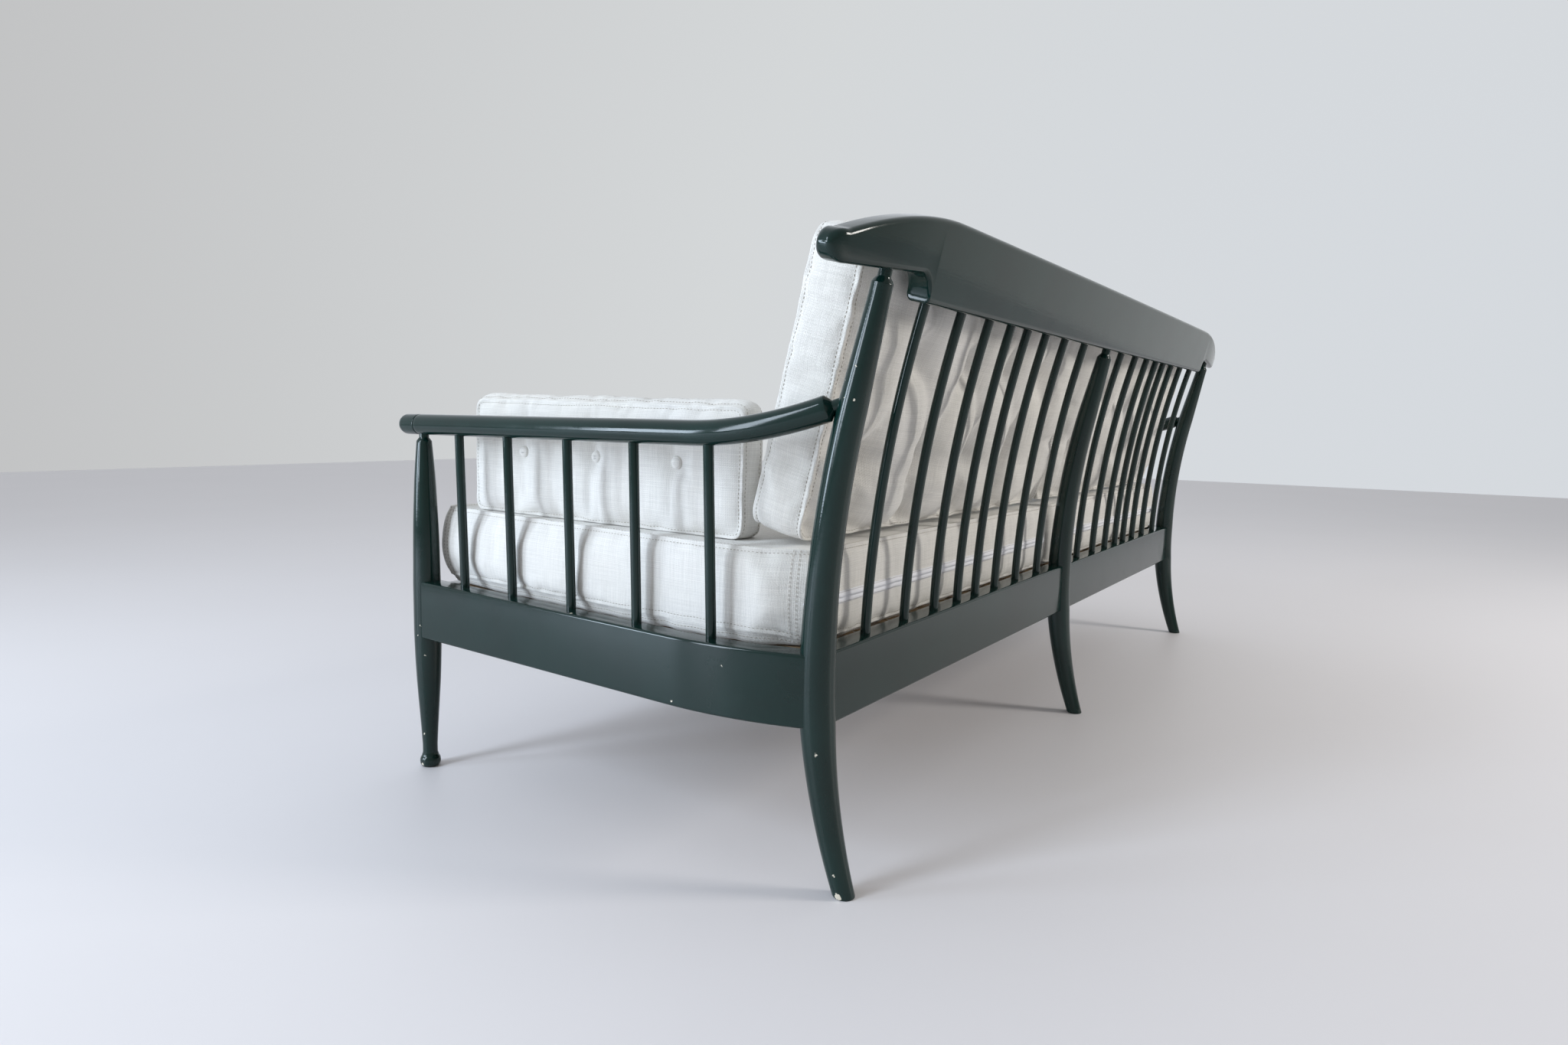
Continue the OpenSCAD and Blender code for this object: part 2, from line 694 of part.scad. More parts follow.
// A back spindle is one arc through its places on the apron's top and the rail's lower edge
spindle_chord = [rail_out - post_out(apron_top), rail_z - apron_top];
spindle_half_turn = asin(norm(spindle_chord) / (2 * back_spindle_bend_r));
spindle_foot_turn = atan2(spindle_chord[0], spindle_chord[1]) - spindle_half_turn;
module back_spindle_rod(i, gap = 0) {
    extra = (spindle_socket + gap) / back_spindle_bend_r * 180 / PI;
    foot_y = back_y - back_spindle_shift + post_out(apron_top);
    translate([back_spindle_x(i), foot_y + back_spindle_bend_r * cos(spindle_foot_turn),
            apron_top - back_spindle_bend_r * sin(spindle_foot_turn)])
        rotate([90, 0, -90]) rotate([0, 0, spindle_foot_turn - extra])
            rotate_extrude(angle = 2 * (spindle_half_turn + extra), $fn = 720)
                translate([back_spindle_bend_r, 0]) circle(d = back_spindle_d + 2 * gap, $fn = 32);
}
module back_spindle(i) {
    color(lacquer) back_spindle_rod(i);
}

// Top rail: rounded sections along a line that bends forward at both ends
rail_stations = concat(
    [for (i = [0:4]) 180 * i],
    [rail_step - 60, rail_step - step_corner_r],
    [for (a = [30, 60, 89]) rail_step - step_corner_r + step_corner_r * sin(a)],
    [for (a = [5:12.14:90]) horn_start - horn_curve_r * cos(a)],
    [for (i = [1:7]) horn_start + (tip_start - horn_start) * i / 7],
    [for (a = [18:18:72]) tip_start + tip_round * sin(a)],
    [rail_half - 0.6]
);
function rail_ring(s, side) =
    let (
        over = max(0, (s - tip_start) / tip_round),
        shrink = sqrt(max(0.002, 1 - over * over)),
        low = rail_low(min(s, tip_start)),
        high = rail_high(min(s, tip_start)),
        mid = (low + high) / 2,
        half = (high - low) / 2 * shrink,
        t = rail_t / 2 * (0.35 + 0.65 * shrink),
        r = min(rail_edge_r, half * 0.9, t * 0.9),
        turn = max(0, s - rail_bend_start) / rail_bend_r * 180 / PI,
        start = min(s, rail_bend_start)
    )
    [for (c = [[1, 1, 0], [-1, 1, 90], [-1, -1, 180], [1, -1, 270]], a = [0:30:90])
        let (
            w = c[0] * (t - r) + r * cos(c[2] + a) - rail_shift,
            v = mid + c[1] * (half - r) + r * sin(c[2] + a),
            u = start + (rail_bend_r + w) * sin(turn),
            out = (rail_bend_r + w) * cos(turn) - rail_bend_r
        )
        [side * u, rail_y + v * lean_s + out * lean_c, rail_z + v * lean_c - out * lean_s]];
module rail_body() {
    n = len(rail_stations);
    stacked([for (i = [-(n - 1):n - 1]) rail_ring(rail_stations[abs(i)], i < 0 ? -1 : 1)]);
}
module top_rail() {
    color(lacquer) difference() {
        rail_body();
        for (x = [-1, 0, 1]) in_lean() translate([x * bay_w, 0, -1])
            cylinder(d = post_neck_d + 2 * bore_gap,
                h = 1 + tenon + bore_gap + (x == 0 ? 0 : horn_at_post));
        for (i = spindle_numbers) back_spindle_rod(i, bore_gap);
    }
}

// Seat deck
slat_margin = 62;
slat_front = front_apron_inner + 2;
slat_rear = back_apron_inner - 2;
// The front cleat keeps clear of the upright front apron although it tilts with the seat
cleat_front = front_apron_inner + 0.3 + (deck_drop + slat_t + cleat) * tan(seat_tilt);
function slat_x(n) = slat_margin + n * (bay_w - 2 * slat_margin) / (slats_per_bay - 1);
module at_screws() {
    for (side = [-1, 1], n = [0:slats_per_bay - 1], y = [cleat_front + cleat / 2, slat_rear - cleat / 2]) {
        in_seat() translate([side * slat_x(n), y, deck_z]) children();
    }
}
// A countersunk screw: its length, its head's height and how far it lies below the slat
screw_len = 28;
screw_head_h = 3;
screw_sink = 0.3;
module slat_screw(gap = 0) {
    join = 0.2;
    rise = screw_head_h + (gap > 0 ? 1 : -screw_sink);
    translate([0, 0, -screw_head_h])
        cylinder(d1 = screw_d + 2 * gap, d2 = screw_d * (1 + rise / screw_head_h) + 2 * gap, h = rise);
    translate([0, 0, -screw_len - gap])
        cylinder(d = screw_d + 2 * gap, h = screw_len - screw_head_h + join + gap, $fn = 24);
}
module seat_slats() {
    color(raw_wood) difference() {
        for (side = [-1, 1], n = [0:slats_per_bay - 1]) {
            in_seat() translate([side * slat_x(n) - slat_w / 2, slat_front, deck_z - slat_t])
                cube([slat_w, slat_rear - slat_front, slat_t]);
        }
        at_screws() slat_screw(bore_gap);
    }
}
module slat_cleats() {
    len = bay_w - 2 * 36;
    color(raw_wood) difference() {
        for (side = [-1, 1], y = [cleat_front, back_apron_inner - 0.6 - cleat]) {
            in_seat() translate([side * bay_w / 2 - len / 2, y, deck_z - slat_t - cleat])
                cube([len, cleat, cleat]);
        }
        at_screws() slat_screw(bore_gap);
    }
}
module slat_screws() {
    color(steel) at_screws() slat_screw();
}
module centre_bearer() {
    len = seat_depth - 2 * socket;
    color(raw_wood) difference() {
        in_seat() translate([-bearer_t / 2, leg_y + socket, bearer_top - bearer_h])
            cube([bearer_t, len, bearer_h]);
        for (end = [0, 1]) bearer_joint(end) dowel_pair(bearer_dowels, bore_gap);
    }
}
module corner_blocks() {
    x = leg_x - apron_t / 2 - 6;
    z = apron_top - apron_h + 6;
    color(raw_wood) for (side = [-1, 1]) on_side(side) {
        translate([x, back_apron_inner - 0.3, z]) linear_extrude(block_h)
            polygon([[0, 0], [-block_leg, 0], [0, -block_leg]]);
        translate([x, front_apron_inner + 0.3, z + front_rise]) linear_extrude(block_h)
            polygon([[0, 0], [0, block_leg], [-block_leg, 0]]);
    }
}
module joint_dowels() {
    color(raw_wood) {
        for (side = [-1, 1], end = [0, 1]) on_side(side) {
            back_joint(end) dowel_pair(back_dowels);
            front_joint(end) front_dowel_pair(end);
            side_joint(end) dowel_pair(side_dowels);
        }
        for (end = [0, 1]) bearer_joint(end) dowel_pair(bearer_dowels);
    }
}

// A cushion: two crowned panels on a grid of lines xs and ys, joined by a swelling border.
// It lies flat, its first panel up. crown_box is the part of the panels that is crowned.
// belly gives the border's swell at its sides -x, +x, -y and +y.
function graded(a, b, n) = [for (i = [0:n]) a + (b - a) * (1 - cos(180 * i / n)) / 2];
function stepped(a, b, n) = [for (i = [1:n]) a + (b - a) * i / n];
function clamp(x, a, b) = max(a, min(b, x));
function swell(x, a, b) = let (q = clamp((2 * x - a - b) / (b - a), -1, 1)) 1 - pow(q, 4);
function sum_of(v, i = 0) = i >= len(v) ? 0 : v[i] + sum_of(v, i + 1);
function puff(x, y, box) = pow(swell(x, box[0], box[1]) * swell(y, box[2], box[3]), 0.6);
function dent(x, y, tufts, depth, r) = depth * min(1, sum_of([for (q = tufts)
    exp(-(pow(x - q[0], 2) + pow(y - q[1], 2)) / (2 * r * r))]));
module pillow(xs, ys, t, crowns, belly, corner_r, crown_box, tufts = [], tuft_depth = 0, tuft_r = 20) {
    nx = len(xs) - 1;
    ny = len(ys) - 1;
    hx = xs[nx];
    hy = ys[ny];
    function core(x, y) = [clamp(x, corner_r - hx, hx - corner_r), clamp(y, corner_r - hy, hy - corner_r)];
    function plan(x, y) =
        let (c = core(x, y), o = [x, y] - c, n = norm(o), m = max(abs(o[0]), abs(o[1])))
        n == 0 ? c : c + o * m / n;
    function panel(s) = [for (y = ys, x = xs)
        let (p = plan(x, y), crown = crowns[s > 0 ? 0 : 1] * puff(x, y, crown_box))
        [p[0], p[1], s * (t / 2 + crown - dent(x, y, tufts, tuft_depth, tuft_r))]];
    loop = concat(
        [for (i = [0:nx - 1]) [i, 0]], [for (j = [0:ny - 1]) [nx, j]],
        [for (i = [nx:-1:1]) [i, ny]], [for (j = [ny:-1:1]) [0, j]]);
    around = len(loop);
    rows = 3;
    border = [for (m = [1:rows - 1], q = loop)
        let (
            f = m / rows,
            p = plan(xs[q[0]], ys[q[1]]),
            o = p - core(xs[q[0]], ys[q[1]]),
            n = o / norm(o),
            b = abs(n[0]) * belly[n[0] < 0 ? 0 : 1] + abs(n[1]) * belly[n[1] < 0 ? 2 : 3]
        )
        [p[0] + n[0] * b * 4 * f * (1 - f), p[1] + n[1] * b * 4 * f * (1 - f), t * (0.5 - f)]];
    count = (nx + 1) * (ny + 1);
    function at(i, j) = j * (nx + 1) + i;
    function ring(m, k) = let (q = loop[k % around])
        m == 0 ? at(q[0], q[1]) : m == rows ? count + at(q[0], q[1])
        : 2 * count + (m - 1) * around + k % around;
    quads = concat(
        [for (i = [0:nx - 1], j = [0:ny - 1]) [at(i, j), at(i, j + 1), at(i + 1, j + 1), at(i + 1, j)]],
        [for (i = [0:nx - 1], j = [0:ny - 1])
            [count + at(i, j), count + at(i + 1, j), count + at(i + 1, j + 1), count + at(i, j + 1)]],
        [for (m = [0:rows - 1], k = [0:around - 1])
            [ring(m, k), ring(m, k + 1), ring(m + 1, k + 1), ring(m + 1, k)]]);
    faces = [for (q = quads) each [[q[0], q[1], q[2]], [q[0], q[2], q[3]]]];
    polyhedron(points = concat(panel(1), panel(-1), border), faces = faces);
}

module seat_cushion(side) {
    hx = seat_w / 2;
    hy = seat_cushion_depth / 2;
    free_x = hx - (seat_outer - arm_cushion_inner);
    free_y = hy - 112;
    xs = concat(graded(-hx, free_x, 9), stepped(free_x, hx, 3));
    ys = concat(graded(-hy, free_y, 8), stepped(free_y, hy, 3));
    color(linen) on_side(side) in_seat()
        translate([rest_gap + hx, seat_rear - hy, deck_z + rest_gap + seat_cushion_t / 2])
            pillow(xs, ys, seat_cushion_t, [seat_crown, 0], [0, seat_belly, seat_front_belly, 5], 22,
                [-hx, free_x, -hy, free_y]);
}

back_tufts = concat(
    [for (i = [-2:2]) [i * back_tuft_pitch, back_tuft_z - back_cushion_h / 2]],
    [for (i = [-1.5:1.5]) [i * back_tuft_pitch, back_tuft_z + back_tuft_rise - back_cushion_h / 2]]);
module in_back_cushion(side) {
    on_side(side) in_lean()
        translate([rest_gap + back_cushion_w / 2, back_rear_w - back_cushion_t / 2,
            back_low_v + back_cushion_h / 2])
            rotate([90, 0, 0]) children();
}
back_crown_box = [-back_cushion_w, back_cushion_w, -back_cushion_h, back_cushion_h] / 2;
back_tuft_r = 19;
module back_cushion(side) {
    hx = back_cushion_w / 2;
    hy = back_cushion_h / 2;
    cell_x = back_tuft_pitch / 6;
    cell_y = back_tuft_rise / 4;
    first_y = back_tuft_z - hy;
    inner_x = [for (i = [-15:15]) i * cell_x];
    inner_y = [for (j = [-2:7]) first_y + j * cell_y];
    xs = concat([-hx, 10 - hx], inner_x, [hx - 10, hx]);
    ys = concat([-hy, 12 - hy], inner_y, [hy - 12, hy]);
    color(linen) in_back_cushion(side)
        pillow(xs, ys, back_cushion_t, [back_crown, back_crown], [0, 5, 0, 7], 26,
            back_crown_box, back_tufts, back_tuft, back_tuft_r);
}

arm_tufts = [for (i = [-1:1]) [i * arm_button_pitch, arm_button_z - arm_cushion_h / 2]];
arm_crown_box = [-arm_cushion_len, arm_cushion_len, -arm_cushion_h, arm_cushion_h] / 2;
arm_tuft_depth = 5;
arm_tuft_r = 17;
module in_arm_cushion(side) {
    on_side(side) in_seat()
        translate([arm_cushion_outer - arm_cushion_t / 2, arm_cushion_rear - arm_cushion_len / 2,
            seat_top + arm_cushion_h / 2])
            rotate([90, 0, 90]) children();
}
module arm_cushion(side) {
    hx = arm_cushion_len / 2;
    hy = arm_cushion_h / 2;
    cell = arm_button_pitch / 5;
    row = arm_button_z - hy;
    xs = concat([-hx, 9 - hx], [for (i = [-8:8]) i * cell], [hx - 9, hx]);
    ys = [-hy, 10 - hy, row - 56, row - 28, row, row + 28, hy - 32, hy - 10, hy];
    color(linen) in_arm_cushion(side)
        pillow(xs, ys, arm_cushion_t, [arm_crown, arm_crown], [4, 4, 0, arm_top_belly], 16,
            arm_crown_box, arm_tufts, arm_tuft_depth, arm_tuft_r);
}

// A covered button, its flat back at z = 0
module button() {
    r = button_d / 2;
    rim = 2;
    rise = 5;
    rotate_extrude($fn = 32) polygon(concat([[0, 0], [r - 1, 0]],
        [for (a = [0:15:90]) [r * cos(a), rim + (rise - rim) * sin(a)]]));
}
// How far a button's flat back lies above the bottom of its tuft, clear of the tuft's flanks
arm_button_rise = 1.7;
back_button_rise = 7;
module arm_buttons(side) {
    color(linen) in_arm_cushion(side) for (q = arm_tufts, flip = [0, 1]) {
        crown = arm_crown * puff(q[0], q[1], arm_crown_box);
        translate([q[0], q[1], 0]) rotate([0, 180 * flip, 0])
            translate([0, 0, arm_cushion_t / 2 + crown - arm_tuft_depth + arm_button_rise]) button();
    }
}
module back_buttons(side) {
    color(linen) in_back_cushion(side) for (q = back_tufts, flip = [0, 1]) {
        crown = back_crown * puff(q[0], q[1], back_crown_box);
        translate([q[0], q[1], 0]) rotate([0, 180 * flip, 0])
            translate([0, 0, back_cushion_t / 2 + crown - back_tuft + back_button_rise]) button();
    }
}

// Zip slider on the rear border of a seat cushion, at the closed end of the zip
zip_drop = 6;
zip_margin = 34;
module zip_slider(side) {
    body = [11, 4, 8];
    pull = [22, 1.4, 6];
    color(steel) on_side(side) in_seat()
        translate([seat_outer - zip_margin, seat_rear + 5 + rest_gap, deck_z + seat_cushion_t / 2 - zip_drop]) {
            translate([-body[0], 0, -body[2] / 2]) cube(body);
            translate([-body[0] / 2, body[1] - 1, 0]) difference() {
                translate([-1.5, 0, -1.5]) cube([3, 3.2, 3]);
                translate([0, 1.2, -2]) cylinder(d = 0.8, h = 4, $fn = 16);
            }
            translate([-body[0] / 2, body[1] + 1.8, -pull[2] / 2]) cube(pull);
        }
}

back_post_left();
back_post_mid();
back_post_right();
front_leg_left();
front_leg_mid();
front_leg_right();
top_rail();
back_apron_left();
back_apron_right();
side_apron_left();
side_apron_right();
front_apron_left();
front_apron_right();
arm_left();
arm_right();
for (i = spindle_numbers) {
    back_spindle(i);
}
for (n = arm_spindle_numbers) {
    arm_spindle(1, n);
    arm_spindle(-1, n);
}
centre_bearer();
seat_slats();
slat_cleats();
corner_blocks();
joint_dowels();
slat_screws();
seat_cushion(1);  // seat_cushion_left
seat_cushion(-1);  // seat_cushion_right
back_cushion(1);  // back_cushion_left
back_cushion(-1);  // back_cushion_right
arm_cushion(1);  // arm_cushion_left
arm_cushion(-1);  // arm_cushion_right
arm_buttons(1);  // arm_buttons_left
arm_buttons(-1);  // arm_buttons_right
back_buttons(1);  // back_buttons_left
back_buttons(-1);  // back_buttons_right
zip_slider(1);  // zip_slider_left
zip_slider(-1);  // zip_slider_right
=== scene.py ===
# Looks of the long lacquered settee with loose linen cushions, in the frame of the CAD model: +X to the
# sitter's left, the front faces -Y, Z up from the floor. Lengths are in millimetres; those of the materials,
# the paint chips, the lamps and the camera are in metres.
from math import asin, atan, atan2, cos, exp, hypot, inf, pi, radians as rad, sin, sqrt

import bpy
import numpy as np
from mathutils import Matrix


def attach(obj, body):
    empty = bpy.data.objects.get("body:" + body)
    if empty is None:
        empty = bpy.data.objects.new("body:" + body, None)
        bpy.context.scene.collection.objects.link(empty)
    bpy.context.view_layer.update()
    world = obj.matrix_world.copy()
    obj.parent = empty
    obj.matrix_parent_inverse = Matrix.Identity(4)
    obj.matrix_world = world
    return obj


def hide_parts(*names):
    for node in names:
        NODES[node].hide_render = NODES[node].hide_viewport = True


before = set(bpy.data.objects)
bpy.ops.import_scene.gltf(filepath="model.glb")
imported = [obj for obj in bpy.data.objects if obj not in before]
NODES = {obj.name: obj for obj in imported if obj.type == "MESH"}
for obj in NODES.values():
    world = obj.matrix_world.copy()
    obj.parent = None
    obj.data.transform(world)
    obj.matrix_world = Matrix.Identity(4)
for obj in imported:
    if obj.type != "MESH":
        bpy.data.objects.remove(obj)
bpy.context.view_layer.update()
scene = bpy.context.scene
MM = 0.001

# sizes of the model, as in the CAD
bay_w, seat_depth, leg_spread = 924.0, 725.0, 2.0
apron_top, apron_h, front_apron_h, front_rise = 292.0, 90.0, 80.0, 12.0
apron_t, apron_edge_r, apron_inset = 36.0, 3.5, 6.0
post_low_z, post_foot_bend_r, post_back_bend_r, back_lean = 261.0, 792.0, 1360.0, 13.8
post_foot_d, post_apron_d, post_seat_d, post_bend_d, post_shoulder_d = 26.5, 43.5, 40.0, 35.5, 25.5
post_neck_d, post_neck_h, post_chamfer_h = 16.0, 9.0, 6.0
leg_d, leg_seat_d, leg_shoulder_d, leg_neck_d = 42.0, 38.5, 23.0, 15.0
leg_ankle_d, leg_foot_d, leg_sole_d = 23.0, 32.0, 24.0
back_spindle_d, back_spindle_bend_r, back_spindle_shift, middle_gap = 13.3, 1650.0, 5.0, 72.5
arm_spindle_d, arm_spindle_inset = 13.5, 7.0
arm_spindle_start, arm_spindle_gap, arm_spindle_pitch = 89.0, 113.0, 127.0
rail_h, rail_t, rail_shift, rail_z, rail_crown, rail_half = 102.4, 32.0, 1.0, 710.4, 1.0, 1044.0
rail_bend_start, rail_bend_r, rail_step_out, horn_step, horn_fall = 840.0, 1700.0, 31.0, 32.0, 15.0
horn_top_r, horn_top_run, tip_round, rail_edge_r = 700.0, 280.0, 24.0, 6.0
arm_d, arm_z, arm_heading, arm_overhang, arm_straight, arm_end_z = 32.0, 550.0, 3.0, 37.5, 555.0, 594.0
arm_shoulder, arm_neck_d, arm_chamfer, side_straight, socket = 33.0, 15.0, 7.0, 532.0, 12.0
deck_drop, seat_back_gap, seat_side_gap, rest_gap, rail_gap = 8.0, 7.5, 36.0, 0.35, 1.5
seat_cushion_depth, seat_cushion_t = 693.0, 124.0
back_cushion_h, back_cushion_t, back_crown = 384.0, 73.0, 35.0
back_tuft_pitch, back_tuft_z, back_tuft_rise = 165.0, 105.0, 140.0
arm_cushion_len, arm_cushion_h, arm_cushion_t, arm_crown, arm_cushion_inset = 512.0, 172.0, 42.0, 13.0, 115.0
arm_button_pitch, arm_button_z, button_d = 148.0, 95.0, 18.0

norm = np.linalg.norm
seat_tilt = atan(front_rise / seat_depth)
lean_s, lean_c = sin(rad(back_lean)), cos(rad(back_lean))
apron_z = apron_top - apron_h / 2
rail_front_w, rail_rear_w = -rail_shift - rail_t / 2, -rail_shift + rail_t / 2
post_straight_z = post_low_z + post_back_bend_r * lean_s
post_straight_out = post_back_bend_r * (1 - lean_c)
rail_out = post_straight_out + (rail_z - post_straight_z) * lean_s / lean_c
rear_reach = rail_out + (rail_h + rail_crown
                         - rail_edge_r) * lean_s + (rail_rear_w - rail_edge_r) * lean_c + rail_edge_r
front_reach = seat_depth + arm_overhang * cos(rad(arm_heading)) + arm_d / 2
back_y = (front_reach - rear_reach) / 2
leg_y, leg_x, rail_y = back_y - seat_depth, bay_w + leg_spread, back_y + rail_out
back_apron_y, front_apron_y = back_y - apron_inset, leg_y + apron_inset
back_apron_inner = back_apron_y - apron_t / 2
deck_z = apron_top - deck_drop
front_apron_top = deck_z + front_rise - 2
seat_rear = back_apron_inner - seat_back_gap
seat_outer = leg_x - seat_side_gap
seat_w = seat_outer - rest_gap
seat_top = deck_z + seat_cushion_t + 2 * rest_gap
arm_cushion_outer = seat_outer - arm_crown + 5
arm_cushion_rear = seat_rear - arm_cushion_inset
back_cushion_w = seat_outer - 4 - rest_gap
back_rear_w = rail_front_w - rail_gap - back_crown
seat_edge_v = (seat_rear - rail_y) * lean_s + (seat_top - rail_z) * lean_c
back_low_v = seat_edge_v + rest_gap + 1


def post_out(z):
    if z < post_low_z:
        return post_foot_bend_r - sqrt(post_foot_bend_r ** 2 - (post_low_z - z) ** 2)
    if z < post_straight_z:
        return post_back_bend_r - sqrt(post_back_bend_r ** 2 - (z - post_low_z) ** 2)
    return post_straight_out + (z - post_straight_z) * lean_s / lean_c


def turn_x(p, angle):
    c, s = cos(angle), sin(angle)
    return np.stack([p[..., 0], p[..., 1] * c - p[..., 2] * s, p[..., 1] * s + p[..., 2] * c], -1)


def in_seat(p):
    pivot = np.array([0, back_y, apron_top])
    return turn_x(np.asarray(p, float) - pivot, -seat_tilt) + pivot


def in_lean(p):
    return turn_x(np.asarray(p, float), -rad(back_lean)) + np.array([0, rail_y, rail_z])


# meshes
def placed(name, data):
    """An object with the data, in the scene."""
    obj = bpy.data.objects.new(name, data)
    scene.collection.objects.link(obj)
    return obj


def evaluated(obj):
    return obj.evaluated_get(bpy.context.evaluated_depsgraph_get())


def points_of(mesh):
    coords = np.zeros(len(mesh.vertices) * 3)
    mesh.vertices.foreach_get("co", coords)
    return coords.reshape(-1, 3) / MM


def make(name, verts, faces, uvs=None, sharp=38, materials=()):
    """A mesh object from points in millimetres."""
    mesh = bpy.data.meshes.new(name)
    mesh.from_pydata((np.asarray(verts) * MM).tolist(), [], [tuple(f) for f in faces])
    if uvs is not None:
        layer = mesh.uv_layers.new(name="weave")
        layer.data.foreach_set("uv", np.asarray(uvs, np.float32).ravel())
    for m in materials:
        mesh.materials.append(m)
    mesh.shade_smooth()
    if sharp:
        mesh.set_sharp_from_angle(angle=rad(sharp))
    return placed(name, mesh)


def strip_faces(n, k, closed=True):
    """Quads between n rows of k points."""
    return [(i * k + j, i * k + (j + 1) % k, (i + 1) * k + (j + 1) % k, (i + 1) * k + j)
            for i in range(n - 1) for j in range(k if closed else k - 1)]


def loft(rings):
    """Points and faces through equal rings, closed at both ends. Each ring runs counterclockwise, seen from
    the last one."""
    rings = [np.asarray(r, float) for r in rings]
    n, k = len(rings), len(rings[0])
    ends = [tuple(range(k - 1, -1, -1)), tuple(range((n - 1) * k, n * k))]
    return np.concatenate(rings), strip_faces(n, k) + ends


def handed(side, verts, faces):
    """A left form as it is, or mirrored for the right side."""
    if side > 0:
        return verts, faces
    return np.asarray(verts) * [-1, 1, 1], [tuple(reversed(f)) for f in faces]


def hoop(centre, r, across=(1, 0, 0), up=(0, 1, 0), sides=28):
    a = np.arange(sides)[:, None] * 2 * pi / sides
    return np.asarray(centre) + r * (np.cos(a) * across + np.sin(a) * up)


def pchip(xs, ys, x):
    """Monotone cubic through the points (xs, ys)."""
    xs, ys, x = map(lambda v: np.asarray(v, float), (xs, ys, x))
    h, d = np.diff(xs), np.diff(ys) / np.diff(xs)
    m = np.zeros(len(xs))
    m[0], m[-1] = d[0], d[-1]
    for i in range(1, len(xs) - 1):
        if d[i - 1] * d[i] > 0:
            w1, w2 = 2 * h[i] + h[i - 1], h[i] + 2 * h[i - 1]
            m[i] = (w1 + w2) / (w1 / d[i - 1] + w2 / d[i])
    i = np.clip(np.searchsorted(xs, x) - 1, 0, len(xs) - 2)
    t = (x - xs[i]) / h[i]
    return ((2 * t ** 3 - 3 * t ** 2 + 1) * ys[i] + (t ** 3 - 2 * t ** 2 + t) * h[i] * m[i]
            + (3 * t ** 2 - 2 * t ** 3) * ys[i + 1] + (t ** 3 - t ** 2) * h[i] * m[i + 1])


# materials
def blank_material(name):
    """A material with an empty node tree, and its Object coordinates in metres."""
    mat = bpy.data.materials.new(name)
    tree = nodes_of(mat)
    return mat, tree, add(tree, "ShaderNodeTexCoord").outputs["Object"]


def nodes_of(block):
    block.use_nodes = True
    block.node_tree.nodes.clear()
    return block.node_tree


def add(tree, kind, inputs=None, **props):
    """A node; inputs is a dict of socket name or index to a value or another node's output."""
    n = tree.nodes.new(kind)
    for k, v in props.items():
        setattr(n, k, v)
    for k, v in (inputs or {}).items():
        s = n.inputs[k]
        if isinstance(v, bpy.types.NodeSocket):
            tree.links.new(v, s)
        else:
            s.default_value = v
    return n


def math_node(tree, op, a, b=0.0, c=0.0):
    return add(tree, "ShaderNodeMath", {0: a, 1: b, 2: c}, operation=op).outputs[0]


def times(tree, a, b):
    return math_node(tree, "MULTIPLY", a, b)


def mix_colour(tree, fac, a, b, blend="MIX"):
    return add(tree, "ShaderNodeMix", {0: fac, 6: a, 7: b}, data_type="RGBA", blend_type=blend).outputs[2]


def ramp(tree, fac, stops):
    n = add(tree, "ShaderNodeValToRGB", {0: fac})
    e = n.color_ramp.elements
    e[0].position, e[0].color = stops[0]
    e[1].position, e[1].color = stops[-1]
    for p, c in stops[1:-1]:
        e.new(p).color = c
    return n.outputs[0]


def grey(v):
    return (v, v, v, 1)


def noise(tree, vec, scale, detail=3.0, rough=0.5, out=0):
    sockets = {"Vector": vec, "Scale": scale, "Detail": detail, "Roughness": rough}
    return add(tree, "ShaderNodeTexNoise", sockets).outputs[out]


def scaled(tree, vec, x, y, z):
    return add(tree, "ShaderNodeMapping", {"Vector": vec, "Scale": (x, y, z)}).outputs[0]


def bump(tree, height, strength, distance, under=None):
    sockets = {"Strength": strength, "Distance": distance, "Height": height}
    return add(tree, "ShaderNodeBump", sockets if under is None else {**sockets, "Normal": under}).outputs[0]


def steps(tree, fac, low, high, a=0.0, b=1.0):
    """Grey that runs from a to b while fac goes from low to high."""
    return ramp(tree, fac, [(low, grey(a)), (high, grey(b))])


def finish_surface(tree, colour, roughness, normal=None, **more):
    sockets = {"Base Color": colour, "Roughness": roughness}
    if normal is not None:
        sockets["Normal"] = normal
    shader = add(tree, "ShaderNodeBsdfPrincipled", {**sockets, **more})
    tree.links.new(shader.outputs[0], add(tree, "ShaderNodeOutputMaterial").inputs[0])


def vector_math(tree, op, a, b, out=0):
    return add(tree, "ShaderNodeVectorMath", {0: a, (3 if op == "SCALE" else 1): b},
               operation=op).outputs[out]


